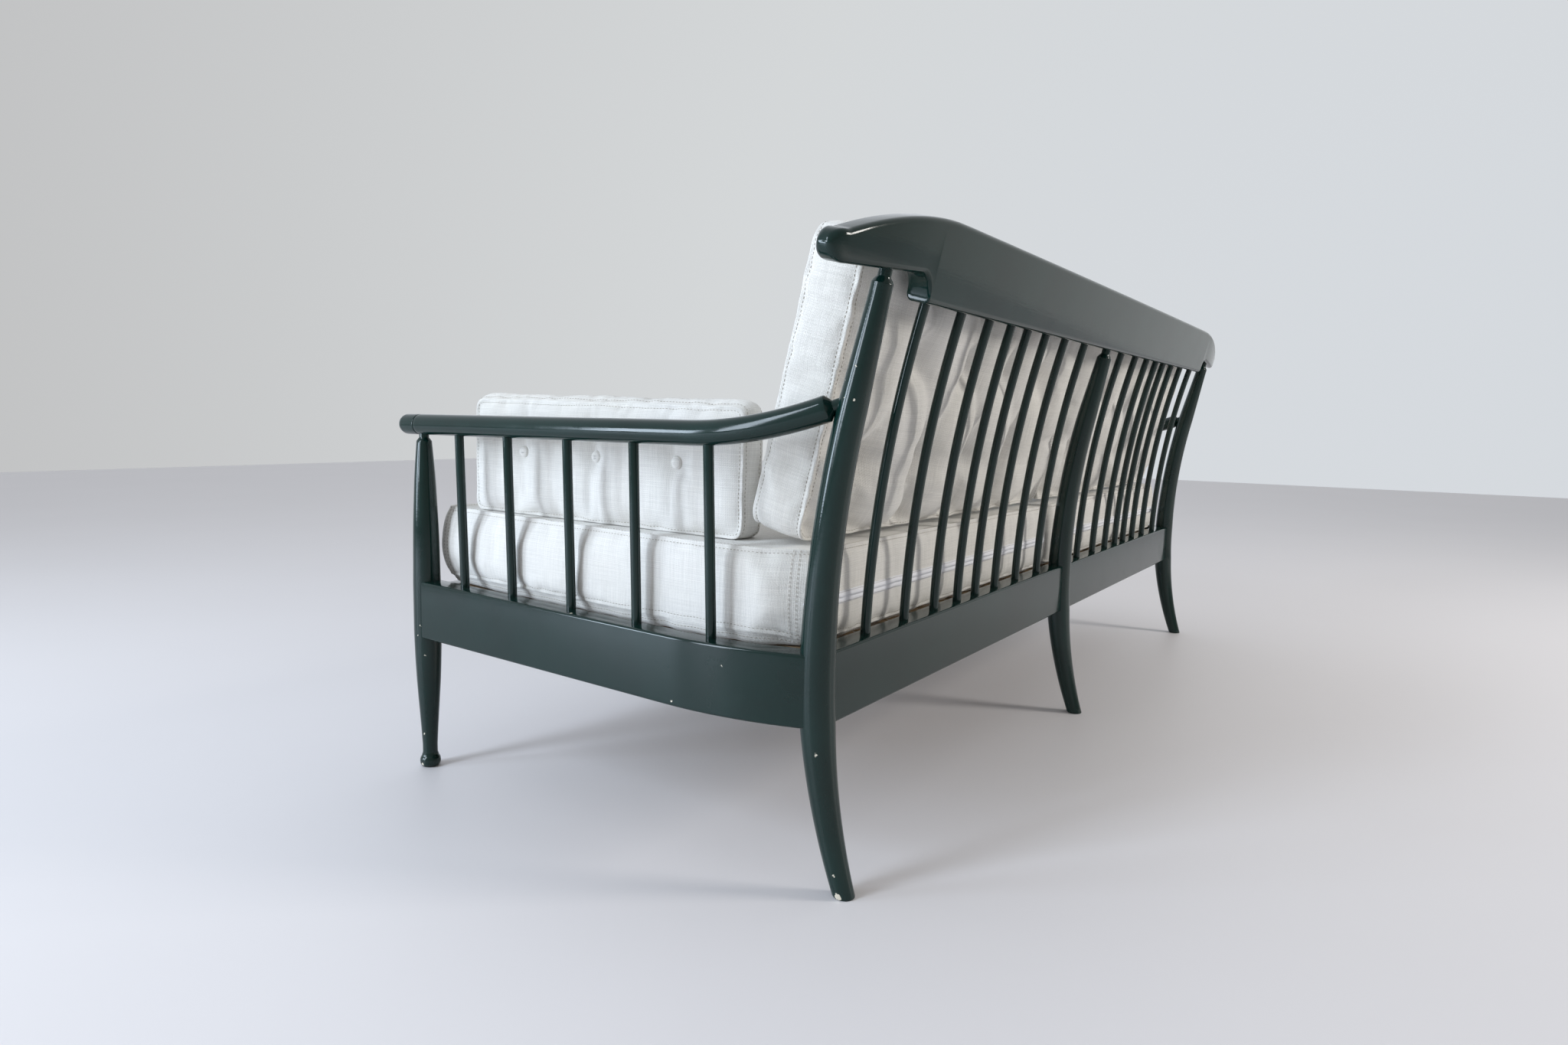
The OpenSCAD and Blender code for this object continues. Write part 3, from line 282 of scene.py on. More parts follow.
def lacquer_material(name, chips=()):
    """Dark green gloss lacquer over turned wood, with faint brush and grain relief and dust; chips are the
    places where it has come off, as (x, y, z, radius) in metres."""
    mat, tree, coords = blank_material(name)
    grain = noise(tree, scaled(tree, coords, 18.0, 18.0, 260.0), 1.0, 3.0)
    colour = mix_colour(tree, steps(tree, noise(tree, coords, 9.0, 4.0), 0.35, 0.7), LACQUER_DEEP,
                        LACQUER_FRESH)
    colour = mix_colour(tree, steps(tree, noise(tree, coords, 31.0, 6.0, 0.7), 0.55, 0.85, 0, 0.10), colour,
                        LACQUER_DUST)
    rough = steps(tree, noise(tree, coords, 24.0, 5.0, 0.65), 0.3, 0.72, 0.07, 0.18)
    relief = bump(tree, noise(tree, coords, 210.0, 2.0), 0.05, 0.0004, bump(tree, grain, 0.10, 0.0006))
    if chips:
        ragged = vector_math(tree, "SUBTRACT", noise(tree, coords, 420.0, 2.0, 0.5, 1), (0.5, 0.5, 0.5))
        place = vector_math(tree, "ADD", coords, vector_math(tree, "SCALE", ragged, CHIP_RAGGEDNESS))
        bare = 0.0
        for x, y, z, r in chips:
            far = vector_math(tree, "DISTANCE", place, (x, y, z), "Value")
            bare = math_node(tree, "MAXIMUM", bare, math_node(tree, "LESS_THAN", far, r))
        colour = mix_colour(tree, bare, colour, LACQUER_PRIMER)
        rough = math_node(tree, "MAXIMUM", rough, times(tree, bare, 0.6))
        relief = bump(tree, math_node(tree, "SUBTRACT", 1.0, bare), 0.7, 0.0005, relief)
    finish_surface(tree, colour, rough, relief, IOR=1.42)
    return mat


def linen_material(name):
    """Natural linen: a plain weave of slubby threads laid on the UV map, which is in metres."""
    mat, tree, obj = blank_material(name)
    uv = add(tree, "ShaderNodeUVMap", uv_map="weave").outputs[0]
    along = add(tree, "ShaderNodeSeparateXYZ", {0: uv}).outputs
    wavy = noise(tree, scaled(tree, uv, 60, 60, 1), 1.0, 2.0)

    def thread_wave(axis):
        bent = math_node(tree, "MULTIPLY_ADD", wavy, THREAD_PITCH * 0.9, along[axis])
        return math_node(tree, "SINE", times(tree, bent, pi / THREAD_PITCH))
    weft, warp = thread_wave(0), thread_wave(1)
    over = math_node(tree, "GREATER_THAN", times(tree, weft, warp), 0.0)
    weft = times(tree, math_node(tree, "ABSOLUTE", weft), over)
    warp = times(tree, math_node(tree, "ABSOLUTE", warp), math_node(tree, "SUBTRACT", 1.0, over))
    weave = math_node(tree, "ADD", weft, warp)
    slubs = [noise(tree, scaled(tree, uv, *q, 1), 1.0, 2.0) for q in ((520, 14), (14, 520))]
    slub = times(tree, math_node(tree, "ADD", *slubs), 0.5)
    height = math_node(tree, "ADD", times(tree, weave, 0.55), times(tree, slub, 1.1))
    # slub tones, and a much darker tint laid where the weave dips between the threads: painted shade in the
    # weave's hollows
    thin, thick, gap_shade = (tuple(min(1, k * c) for c in LINEN_TINT) + (1,) for k in (0.86, 1.06, 0.62))
    colour = mix_colour(tree, steps(tree, slub, 0.33, 0.66), thin, thick)
    colour = mix_colour(tree, steps(tree, weave, 0.12, 0.5, 1, 0), colour, gap_shade)
    yellowing = ramp(tree, noise(tree, obj, 5.0, 3.0), [(0.3, (0.965, 0.955, 0.93, 1)), (0.7, grey(1))])
    colour = mix_colour(tree, 1.0, colour, yellowing, "MULTIPLY")
    relief = bump(tree, noise(tree, obj, 38.0, 4.0, 0.55), 0.35, 0.004, bump(tree, height, 0.55, 0.0007))
    cloth = {"Sheen Weight": 0.25, "Sheen Roughness": 0.5, "Specular IOR Level": 0.2}
    finish_surface(tree, colour, 0.92, relief, **cloth)
    return mat


def wood_material(name):
    mat, tree, coords = blank_material(name)
    warp = noise(tree, scaled(tree, coords, 3, 1.2, 3), 1.0, 3.0)
    wave = {"Vector": scaled(tree, coords, 26, 1.3, 26), "Distortion": 5.0, "Detail": 3.0,
            "Phase Offset": warp}
    rings = add(tree, "ShaderNodeTexWave", {"Scale": 1.0, **wave}, bands_direction="DIAGONAL").outputs["Fac"]
    fibre = noise(tree, scaled(tree, coords, 520, 12, 520), 1.0, 3.0)
    # a brown far darker than bare pine: painted shade in the base tone, so the deck reads dark under the
    # cushions; the rings and the fibre streaks are the wood's own grain
    colour = mix_colour(tree, rings, (0.20, 0.135, 0.075, 1), (0.28, 0.195, 0.115, 1))
    colour = mix_colour(tree, steps(tree, fibre, 0.35, 0.6, 0.5, 0), colour, (0.12, 0.078, 0.042, 1))
    finish_surface(tree, colour, steps(tree, fibre, 0.3, 0.7, 0.72, 0.55), bump(tree, fibre, 0.25, 0.0006))
    return mat


def metal_material(name):
    mat, tree, coords = blank_material(name)
    brushed = noise(tree, scaled(tree, coords, 60, 900, 900), 1.0, 3.0)
    colour = mix_colour(tree, brushed, (0.50, 0.51, 0.53, 1), (0.70, 0.71, 0.73, 1))
    finish_surface(tree, colour, steps(tree, brushed, 0.3, 0.7, 0.22, 0.42), Metallic=1.0)
    return mat


def thread_material(name, colour):
    mat, tree, coords = blank_material(name)
    twist = noise(tree, coords, 1500.0, 2.0)
    c = mix_colour(tree, twist, tuple(0.75 * v for v in colour) + (1,), tuple(colour) + (1,))
    finish_surface(tree, c, 0.85, bump(tree, twist, 0.5, 0.0003), **{"Sheen Weight": 0.2})
    return mat


LACQUER_DEEP, LACQUER_FRESH = (0.0022, 0.0142, 0.0118, 1), (0.0036, 0.0202, 0.0170, 1)
LACQUER_DUST, LACQUER_PRIMER = (0.030, 0.052, 0.050, 1), (0.62, 0.57, 0.47, 1)
CHIP_RAGGEDNESS = 0.006
LINEN_TINT, THREAD_PITCH = (0.83, 0.812, 0.778), 0.0017
# paint chipped down to the primer: x, y, z and radius in metres
CHIPS = ((0.9456, -0.3823, 0.2344, 0.0015), (0.9466, -0.3873, 0.2179, 0.0011),
         (0.9418, -0.3775, 0.1863, 0.0013),
         (0.9384, -0.3881, 0.0561, 0.0016), (0.9417, -0.3891, 0.0061,
                                             0.0024), (0.9433, 0.3472, 0.1741, 0.0017),
         (0.9381, 0.3727, 0.0290, 0.0016), (0.9374, 0.3782, 0.0045,
                                            0.0042), (0.9391, 0.3846, 0.5917, 0.0013),
         (0.9399, 0.3858, 0.6294, 0.0009), (0.9370, 0.3710, 0.6135,
                                            0.0008), (0.9407, 0.3726, 0.5937, 0.0008),
         (0.9721, 0.1504, 0.2118, 0.0012), (0.9688, 0.2254, 0.2682,
                                            0.0010), (0.9562, -0.0416, 0.2982, 0.0024))
LACQUER = lacquer_material("green_lacquer")
WORN_LACQUER = lacquer_material("green_lacquer_worn", CHIPS)
LINEN = linen_material("natural_linen")
WOOD = wood_material("pine_darkened_as_shade")
STEEL = metal_material("zinc_steel")
THREAD = thread_material("linen_thread", (0.46, 0.42, 0.36))
ZIP = thread_material("zip_tape", (0.95, 0.955, 1.0))


def lacquered(name, verts, faces, node, material=None):
    obj = make(name, verts, faces, materials=[material or LACQUER])
    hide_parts(node)
    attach(obj, "frame")


# back posts
TAPER_Z = [0, apron_top - apron_h, apron_top, apron_top + 90, post_straight_z, rail_z]
TAPER_D = [post_foot_d, post_apron_d, post_apron_d, post_seat_d, post_bend_d, post_shoulder_d]
step_corner_r = 3.0
horn_curve_r = horn_step - step_corner_r
gap_step = (bay_w / 2 - 4.5 * middle_gap) / 10


def spindle_offset(k):
    return middle_gap / 2 + k * middle_gap + gap_step * k * (k + 1) / 2


rail_step = bay_w / 2 + spindle_offset(3) + rail_step_out
horn_start = rail_step + horn_curve_r


def rail_low(s):
    if s < rail_step - step_corner_r:
        return 0.0
    if s < rail_step:
        return step_corner_r - sqrt(max(0, step_corner_r ** 2 - (s - rail_step + step_corner_r) ** 2))
    if s < horn_start:
        return step_corner_r + sqrt(max(0, horn_curve_r ** 2 - (horn_start - s) ** 2))
    return horn_step - horn_fall * (s - horn_start) / (rail_half - horn_start)


def rail_high(s):
    f = rail_half - horn_top_run
    d = max(0.0, s - f)
    return rail_h + rail_crown * (1 - min(1, s / f) ** 2) - horn_top_r + sqrt(horn_top_r ** 2 - d * d)


def post(x, horn_v):
    shoulder_v = horn_v - post_neck_h - post_chamfer_h
    shoulder_z = rail_z + shoulder_v * lean_c
    foot_rounding = {0.0: 1.6, 0.9: 0.5, 2.2: 0.0}
    rings = []
    for z in [*foot_rounding] + list(np.linspace(7, shoulder_z - 1, 96)):
        s = (post_out(z + 1) - post_out(max(0, z - 1))) / (2 if z >= 1 else 1 + z)
        r = np.interp(z, TAPER_Z, TAPER_D) / 2 - foot_rounding.get(z, 0)
        up = np.array([0, s, 1]) / hypot(s, 1)
        ring = hoop([x, back_y + post_out(z), z], r, up=np.array([0, 1, -s]) / hypot(s, 1), sides=56)
        if z in foot_rounding:
            ring = ring + up * ((z - ring[:, 2]) / up[2])[:, None]
        rings.append(ring)
    shoulder_r, neck_r = post_shoulder_d / 2, post_neck_d / 2
    neck_v = shoulder_v + post_chamfer_h
    for v, r in ((shoulder_v - 0.5, shoulder_r), (shoulder_v, shoulder_r - 0.35),
                 (neck_v - post_chamfer_h * 0.5, (shoulder_r + neck_r) / 2 + 0.3),
                 (neck_v, neck_r), (neck_v + 1, neck_r - 0.2), (horn_v + 6, neck_r - 0.2)):
        rings.append(in_lean(hoop([x, 0, v], r, sides=56)))
    return loft(rings)


def section(t, h, r, n=5):
    """A rounded board's section, counterclockwise, x across and y up."""
    points = []
    for cx, cy, a0 in ((1, 1, 0), (-1, 1, 90), (-1, -1, 180), (1, -1, 270)):
        for k in range(n + 1):
            a = rad(a0 + 90 * k / n)
            points.append((cx * (t / 2 - r) + r * cos(a), cy * (h / 2 - r) + r * sin(a)))
    return points


# arms
heading_dir = np.array([sin(rad(arm_heading)), cos(rad(arm_heading))])
outward_dir = np.array([cos(rad(arm_heading)), -sin(rad(arm_heading))])


def run_point(l):
    return np.array([leg_x, leg_y]) + l * heading_dir


def arc_to(along, off):
    """Radius and turn of an arc that starts along the run and ends so far along and off it."""
    return (along ** 2 + off ** 2) / (2 * off), 2 * atan(off / along)


def bent(l, a, straight, r, length=inf):
    """How far out of and along the run a point is, l along a piece that bends after its straight part, a out
    of its middle; past the bend it goes on straight."""
    bend = min(max(0, l - straight), length) / r
    past = max(0, l - straight - length)
    return ((r + a) * cos(bend) - r - past * sin(bend),
            (r + a) * sin(bend) + min(0, l - straight) + past * cos(bend))


arm_start = run_point(arm_straight)
arm_span = np.array([bay_w, back_y + post_out(arm_end_z)]) - arm_start
arm_in, arm_up = -(arm_span @ outward_dir), arm_end_z - arm_z
arm_r, arm_turn = arc_to(arm_span @ heading_dir, hypot(arm_in, arm_up))
arm_tilt = atan(arm_up / arm_in)
arm_bend_len = arm_r * (arm_turn - arm_shoulder / arm_r)
side_start = run_point(side_straight)
side_span = np.array([bay_w, back_y]) - side_start
side_r, side_turn = arc_to(side_span @ heading_dir, -(side_span @ outward_dir))
board_end = socket - 1.5
side_bend_len = side_r * (side_turn - board_end / side_r)


def arm_at(l, a, b):
    u, v = bent(l, a, arm_straight, arm_r, arm_bend_len)
    plan = arm_start + (u * cos(arm_tilt) + b * sin(arm_tilt)) * outward_dir + v * heading_dir
    return [*plan, arm_z - u * sin(arm_tilt) + b * cos(arm_tilt)]


def arm_mesh():
    r, neck_r, sides = arm_d / 2, arm_neck_d / 2 - 0.15, 48
    end = arm_straight + arm_bend_len
    front_round = (-89.5, -84, -76, -66, -56, -46, -36, -26, -16, -7)
    joint_line = (-1.3, -0.9, -0.6, -0.3, 0, 0.3, 0.6, 0.9, 1.3)
    profile = [(r * sin(rad(a)) - arm_overhang, r * cos(rad(a))) for a in front_round]
    profile += [(-arm_overhang, r), (-20, r), (-9.6, r)]
    profile += [(m * 1.5 - 7, r - 1.35 * exp(-(m / 0.62) ** 2)) for m in joint_line]
    profile += [(l, r) for l in np.linspace(0, arm_straight, 24)]
    profile += [(arm_straight + arm_bend_len * i / 28, r) for i in range(1, 28)]
    profile += [(end - 0.7, r), (end - 0.15, r - 0.2), (end + 0.4, r - 0.8),
                (end + arm_chamfer, arm_neck_d / 2)]
    profile += [(end + arm_chamfer + 1.2, neck_r), (end + arm_shoulder - 8, neck_r)]
    round_ = [-2 * pi * k / sides for k in range(sides)]
    return loft([[arm_at(l, q * cos(a), q * sin(a)) for a in round_] for l, q in profile])


def side_at(l, a=0.0):
    """The plan point l along the side board and a out of its middle."""
    u, v = bent(l, a, side_straight, side_r)
    return side_start + u * outward_dir + v * heading_dir


def side_board():
    points = section(apron_t, apron_h, apron_edge_r)[::-1]
    stations = list(np.linspace(board_end, side_straight, 14))
    stations += [side_straight + side_bend_len * i / 22 for i in range(1, 23)]
    return loft([in_seat([[*side_at(l, a), apron_z + b] for a, b in points]) for l in stations])


SPINDLE_SINK = 6  # how far the arm spindles go into the arm and the side board


def rod(p, q, d):
    p, q = np.array(p, float), np.array(q, float)
    t = (q - p) / norm(q - p)
    across = np.cross(t, [0, 1, 0])
    across /= norm(across)
    return loft([hoop(p + (q - p) * f, d / 2, across, np.cross(t, across)) for f in np.linspace(0, 1, 8)])


def arm_spindle(n):
    l = arm_spindle_start + (arm_spindle_gap + (n - 2) * arm_spindle_pitch if n > 1 else 0)
    top = run_point(l)
    foot = side_at(l) - arm_spindle_inset * outward_dir
    low = apron_top + front_rise * (back_y - foot[1]) / seat_depth - SPINDLE_SINK
    return rod([*foot, low], [*top, arm_z - SPINDLE_SINK], arm_spindle_d)


# back spindles
chord = (rail_out - post_out(apron_top), rail_z - apron_top)
half_turn = asin(hypot(*chord) / (2 * back_spindle_bend_r))
foot_turn = atan2(*chord) - half_turn
back_spindle_sink = 7


def back_spindle_x(i):
    bay = 1 if i > 8 else -1
    n = (i - 1) % 8
    k, s = (3 - n, -1) if n < 4 else (n - 4, 1)
    return bay * bay_w / 2 + s * spindle_offset(k)


def back_spindle(i):
    r = back_spindle_bend_r
    cy = back_y - back_spindle_shift + post_out(apron_top) + r * cos(foot_turn)
    cz = apron_top - r * sin(foot_turn)
    into = back_spindle_sink / r
    rings = []
    for th in np.linspace(foot_turn - into, foot_turn + 2 * half_turn + into, 40):
        centre = [back_spindle_x(i), cy - r * cos(th), cz + r * sin(th)]
        rings.append(hoop(centre, back_spindle_d / 2, up=np.array([0, cos(th), -sin(th)])))
    return loft(rings)


# top rail
def rail_mesh():
    """The top rail from stations along its middle, closer at the horn steps and the rounded tips."""
    tip_start = rail_half - tip_round
    stations = list(np.linspace(0, rail_step - 40,
                                22)) + list(np.linspace(rail_step - 34, rail_step - step_corner_r, 4))
    stations += [rail_step - step_corner_r + step_corner_r * sin(rad(a)) for a in (20, 40, 60, 75, 88)]
    stations += [horn_start - horn_curve_r * cos(rad(a)) for a in np.linspace(3, 90, 16)]
    stations += list(np.linspace(horn_start, tip_start, 26))[1:]
    stations += [tip_start + tip_round * sin(rad(a))
                 for a in (10, 20, 30, 40, 50, 60, 70, 78, 84)] + [rail_half - 0.1]

    def ring(s, side):
        over = max(0.0, (s - tip_start) / tip_round)
        shrink = sqrt(max(0.0004, 1 - over * over))
        low, high = rail_low(min(s, tip_start)), rail_high(min(s, tip_start))
        mid, half = (low + high) / 2, (high - low) / 2 * shrink
        t = rail_t / 2 * (0.30 + 0.70 * shrink)
        r = min(rail_edge_r + 1.5, half * 0.95, t * 0.95)
        turn = max(0.0, s - rail_bend_start) / rail_bend_r
        start = min(s, rail_bend_start)
        out = []
        for w, v in section(2 * t, 2 * half, r, 7):
            w, v = w - rail_shift, v + mid
            o = (rail_bend_r + w) * cos(turn) - rail_bend_r
            u = start + (rail_bend_r + w) * sin(turn)
            out.append([side * u, rail_y + v * lean_s + o * lean_c, rail_z + v * lean_c - o * lean_s])
        return out

    return loft([ring(s, -1) for s in reversed(stations[1:])] + [ring(s, 1) for s in stations])


# front legs
def front_leg(x, mid):
    foot_r, ankle_r, r = leg_foot_d / 2, leg_ankle_d / 2, leg_d / 2
    profile = [(leg_sole_d / 2 - 1.2, 0), (leg_sole_d / 2, 0.6)]
    profile += [(foot_r - 6 + 6 * cos(rad(a)), 9.2 + 8.4 * sin(rad(a)) / sin(rad(62)))
                for a in range(-62, 63, 6)]
    profile += [(ankle_r + 1.1, 20.2), (ankle_r + 0.2, 22.5), (ankle_r, 25), (ankle_r, 36)]
    # heights and radii of the turned part
    heights = [36, 58, 87, 115, 145, 190, 225, apron_top, apron_top + 35]
    radii = [ankle_r, ankle_r + 1.2, 14.6, 16.5, 18.4, r - 0.8, r, r, r - 0.6]
    if mid:
        top = front_apron_top - 5
        profile += [(float(pchip(heights, radii, z)), z) for z in np.linspace(40, top, 50)]
        profile += [(r - 5 + 5 * cos(rad(a)), top + 5 * sin(rad(a))) for a in range(0, 91, 15)]
    else:
        top, neck_r = arm_z - arm_d / 2 - 9, leg_neck_d / 2
        heights += [386, 437, 470, 503, top]
        radii += [leg_seat_d / 2, 17.2, 15.7, 13.3, leg_shoulder_d / 2]
        profile += [(float(pchip(heights, radii, z)), z) for z in np.linspace(40, top - 0.6, 90)]
        profile += [(leg_shoulder_d / 2 - 0.4, top), (neck_r, top + 4.5)]
        profile += [(neck_r - 0.1, top + 5.5), (neck_r - 0.1, arm_z - 8)]
    return loft([hoop([x, leg_y, z], r, sides=48) for r, z in profile])


# the frame's pieces
def board(x1, y, z, h):
    points = section(apron_t, h, apron_edge_r)
    return loft([[[x, y + a, z + b] for a, b in points] for x in np.linspace(socket, x1 - socket, 20)])


for side, hand in (("left", 1), ("right", -1)):
    worn = WORN_LACQUER if hand > 0 else LACQUER
    front_z = front_apron_top - front_apron_h / 2
    for name, form, node, finish in (
            ("post", post(bay_w, rail_low(bay_w)), "back_post", worn),
            ("leg", front_leg(leg_x, False), "front_leg", worn),
            ("arm_rod", arm_mesh(), "arm", LACQUER),
            ("side_board", side_board(), "side_apron", worn),
            ("back_board", board(bay_w, back_apron_y, apron_z, apron_h), "back_apron", LACQUER),
            ("front_board", board(leg_x, front_apron_y, front_z, front_apron_h), "front_apron", LACQUER)):
        lacquered(f"{name}_{side}", *handed(hand, *form), f"{node}_{side}", finish)
    for n in range(1, 6):
        lacquered(f"arm_rung_{side}_{n}", *handed(hand, *arm_spindle(n)), f"arm_spindle_{side}_{n}")
lacquered("post_mid", *post(0, 0), "back_post_mid")
lacquered("leg_mid", *front_leg(0, True), "front_leg_mid")
lacquered("rail", *rail_mesh(), "top_rail")
for i in range(1, 17):
    lacquered(f"back_rung_{i}", *back_spindle(i), f"back_spindle_{i}")

for finish, names in ((WOOD, "centre_bearer seat_slats slat_cleats corner_blocks joint_dowels"),
                      (STEEL, "slat_screws zip_slider_left zip_slider_right")):
    for n in names.split():
        NODES[n].data.materials.clear()
        NODES[n].data.materials.append(finish)


# cushions
def lines(a, b, step, near=(2.0, 5.0, 9.0)):
    """Grid lines from a to b about a step apart, with closer ones near both ends."""
    inner = np.linspace(a + near[-1], b - near[-1], max(3, int(round((b - a - 2 * near[-1]) / step)) + 1))
    return np.array([a] + [a + q for q in near[:-1]] + list(inner) + [b - q for q in reversed(near[:-1])]
                    + [b])


def smooth_step(x):
    x = np.clip(x, 0, 1)
    return x * x * (3 - 2 * x)


def wander(s, seed, short=24.0, long=70.0, count=7):
    """Seeded unevenness along a length s, from -1 to 1 or so."""
    draws = np.random.default_rng(seed)
    out = np.zeros_like(s, dtype=float)
    for w in draws.uniform(short, long, count):
        out += np.sin(s * 2 * pi / w + draws.uniform(0, 6.28)) * (w / long) ** 0.3
    return out / sqrt(count)


def edge_run(i0, i1, j0, j1):
    """Grid places around a rectangle, counterclockwise from its first corner."""
    return ([(i, j0) for i in range(i0, i1)] + [(i1, j) for j in range(j0, j1)]
            + [(i, j1) for i in range(i1, i0, -1)] + [(i0, j) for j in range(j1, j0, -1)])


# across a seam: height and width of its welt; how far off its stitch line runs; that line's depth and width
WELT, SEAM_OFF, FURROW = (0.9, 1.6), 5.0, (1.25, 2.2)
# where the bottom panel and the border lie on a pad's UV map, in millimetres
UV_BOTTOM, UV_BORDER = 2000, 5000


class Pad:
    """A box cushion on a grid: two panels and a border. Local x and y run along the panels, z through them.
    crowns swell the top and the bottom panel, belly the four border sides, box is where the top can rise.
    V are its points. D holds each one's distance from the nearest seam, S its place along it and W which
    seam that is; rim are the top seam's points, and as many columns of the border run around under them."""

    def __init__(self, hx, hy, t, step, corner, crowns, belly, box=None):
        self.hx, self.hy, self.t = hx, hy, t
        xs, ys = lines(-hx, hx, step), lines(-hy, hy, step)
        zs = lines(0, t, step)[1:-1]
        nx, ny, nb = len(xs) - 1, len(ys) - 1, len(zs) + 1
        self.nx, self.ny, self.nb = nx, ny, nb
        box = box or (-hx, hx, -hy, hy)
        gx, gy = np.meshgrid(xs, ys)
        cx, cy = np.clip(gx, corner - hx, hx - corner), np.clip(gy, corner - hy, hy - corner)
        ox, oy = gx - cx, gy - cy
        n = np.hypot(ox, oy)
        m = np.maximum(abs(ox), abs(oy))
        k = np.where(n > 0, m / np.maximum(n, 1e-9), 0)
        px, py = cx + ox * k, cy + oy * k
        rise_x = 1 - np.clip((2 * gx - box[0] - box[1]) / (box[1] - box[0]), -1, 1) ** 4
        rise_y = 1 - np.clip((2 * gy - box[2] - box[3]) / (box[3] - box[2]), -1, 1) ** 4
        self.puff = (rise_x * rise_y).ravel() ** 0.6
        self.count = count = (nx + 1) * (ny + 1)
        self.top, self.bottom = slice(0, count), slice(count, 2 * count)
        self.panels = (self.top, 1), (self.bottom, -1)
        self.X, self.Y = X, Y = gx.ravel(), gy.ravel()
        top = np.stack([px.ravel(), py.ravel(), t / 2 + crowns[0] * self.puff], -1)
        bot = np.stack([px.ravel(), py.ravel(), -t / 2 - crowns[1] * self.puff], -1)
        loop = edge_run(0, nx, 0, ny)
        self.around = len(loop)
        rim = self.rim = np.array([j * (nx + 1) + i for i, j in loop])
        outward = np.stack([(px - cx).ravel()[rim], (py - cy).ravel()[rim]], -1)
        outward /= norm(outward, axis=1)[:, None]
        b = sum(abs(o) * np.where(o < 0, *q) for o, q in zip(outward.T, (belly[:2], belly[2:])))
        ends = top[np.append(rim, rim[0])][:, :2]
        arc = np.concatenate([[0], np.cumsum(norm(np.diff(ends, axis=0), axis=1))])
        rows = []
        for z in zs:
            f = z / t
            swell = (4 * f * (1 - f)) ** 0.75
            edge = top[rim][:, :2] + outward * (b * swell)[:, None]
            rows.append(np.column_stack([edge, np.full(self.around, t / 2 - z)]))
        self.V = np.concatenate([top, bot] + rows)
        side = np.stack([hy + Y, hx - X, hy - Y, hx + X], -1)
        nearest = side.argmin(1)
        along = np.stack([X + hx, 2 * hx + Y + hy, 4 * hx + 2 * hy - X - hx, 4 * hx + 4 * hy - Y - hy], -1)
        place = along[np.arange(count), nearest]
        depth = self.depth = np.concatenate([[0], zs, [t]])
        self.D = np.concatenate([side.min(1)] * 2 + [np.full(self.around, min(z, t - z)) for z in zs])
        self.S = np.concatenate([place] * 2 + [place[rim] for z in zs])
        self.W = np.concatenate([np.zeros(count), np.ones(count)] + [np.full(self.around, float(z > t / 2))
                                                                     for z in zs])
        self.faces, uv = [], []

        def at(i, j):
            return j * (nx + 1) + i
        for j in range(ny):
            for i in range(nx):
                q = [at(i, j), at(i + 1, j), at(i + 1, j + 1), at(i, j + 1)]
                self.faces.append(tuple(q))
                uv += [(X[a], Y[a]) for a in q]
                r = q[::-1]
                self.faces.append(tuple(count + a for a in r))
                uv += [(X[a], UV_BOTTOM - Y[a]) for a in r]
        for m in range(nb):
            for k in range(self.around):
                quad = (k, m), (k, m + 1), (k + 1, m + 1), (k + 1, m)
                self.faces.append(tuple(self.ring(r, q) for q, r in quad))
                uv += [(UV_BORDER + arc[q], depth[r]) for q, r in quad]
        self.uv = np.array(uv) * MM

    def ring(self, m, k):
        k %= self.around
        if m == 0:
            return self.rim[k]
        if m == self.nb:
            return self.count + self.rim[k]
        return 2 * self.count + (m - 1) * self.around + k

    def panel_loop(self, which, inset):
        """The closed run of panel points that lies inset grid lines inside the seam."""
        run = edge_run(inset, self.nx - inset, inset, self.ny - inset)
        return np.array([which * self.count + j * (self.nx + 1) + i for i, j in run])

    def border_loop(self, row):
        return np.array([self.ring(row, k) for k in range(self.around)])

    def column(self, x, y):
        """The border column whose seam point lies nearest to (x, y)."""
        p = self.V[self.rim]
        return int(np.argmin(np.hypot(p[:, 0] - x, p[:, 1] - y)))

    def panel_index(self, x, y):
        return int(np.argmin(np.hypot(self.X - x, self.Y - y)))

    def normals(self, V):
        F = np.array(self.faces)
        n = np.cross(V[F[:, 2]] - V[F[:, 0]], V[F[:, 3]] - V[F[:, 1]])
        out = np.zeros_like(V)
        for k in range(4):
            np.add.at(out, F[:, k], n)
        return out / np.maximum(norm(out, axis=1), 1e-9)[:, None]

    def sewn(self, V, seed, pucker, reach, columns=()):
        """Adds what sewing does: a welt between two furrows at each seam, puckers across it, cross seams."""
        n = self.normals(V)
        D, d = self.D, np.zeros(len(V))
        d += WELT[0] * np.exp(-(D / WELT[1]) ** 2) - FURROW[0] * np.exp(-((D - SEAM_OFF) / FURROW[1]) ** 2)
        for w in (0, 1):
            wave = wander(self.S, seed + 10 * w, 26, 60) + 0.6 * wander(self.S, seed + 10 * w + 5, 60, 180)
            fade = np.exp(-np.maximum(0, D - SEAM_OFF) / reach) * smooth_step(D / SEAM_OFF)
            d += np.where(self.W == w, pucker * wave * fade, 0)
        sag = wander(self.S + 3.1 * D, seed + 31, 90, 260)
        d += np.where(D > 6, 0.8 * sag * smooth_step((D - 6) / 40), 0)
        V = V + n * d[:, None]
        for k in columns:
            for i in (self.ring(m, k) for m in range(1, self.nb)):
                V[i] -= n[i] * 1.5
        edge = np.concatenate([self.rim, self.count + self.rim])
        V[edge, 2] += 0.7 * wander(self.S[edge], seed + 47, 40, 150)
        return V


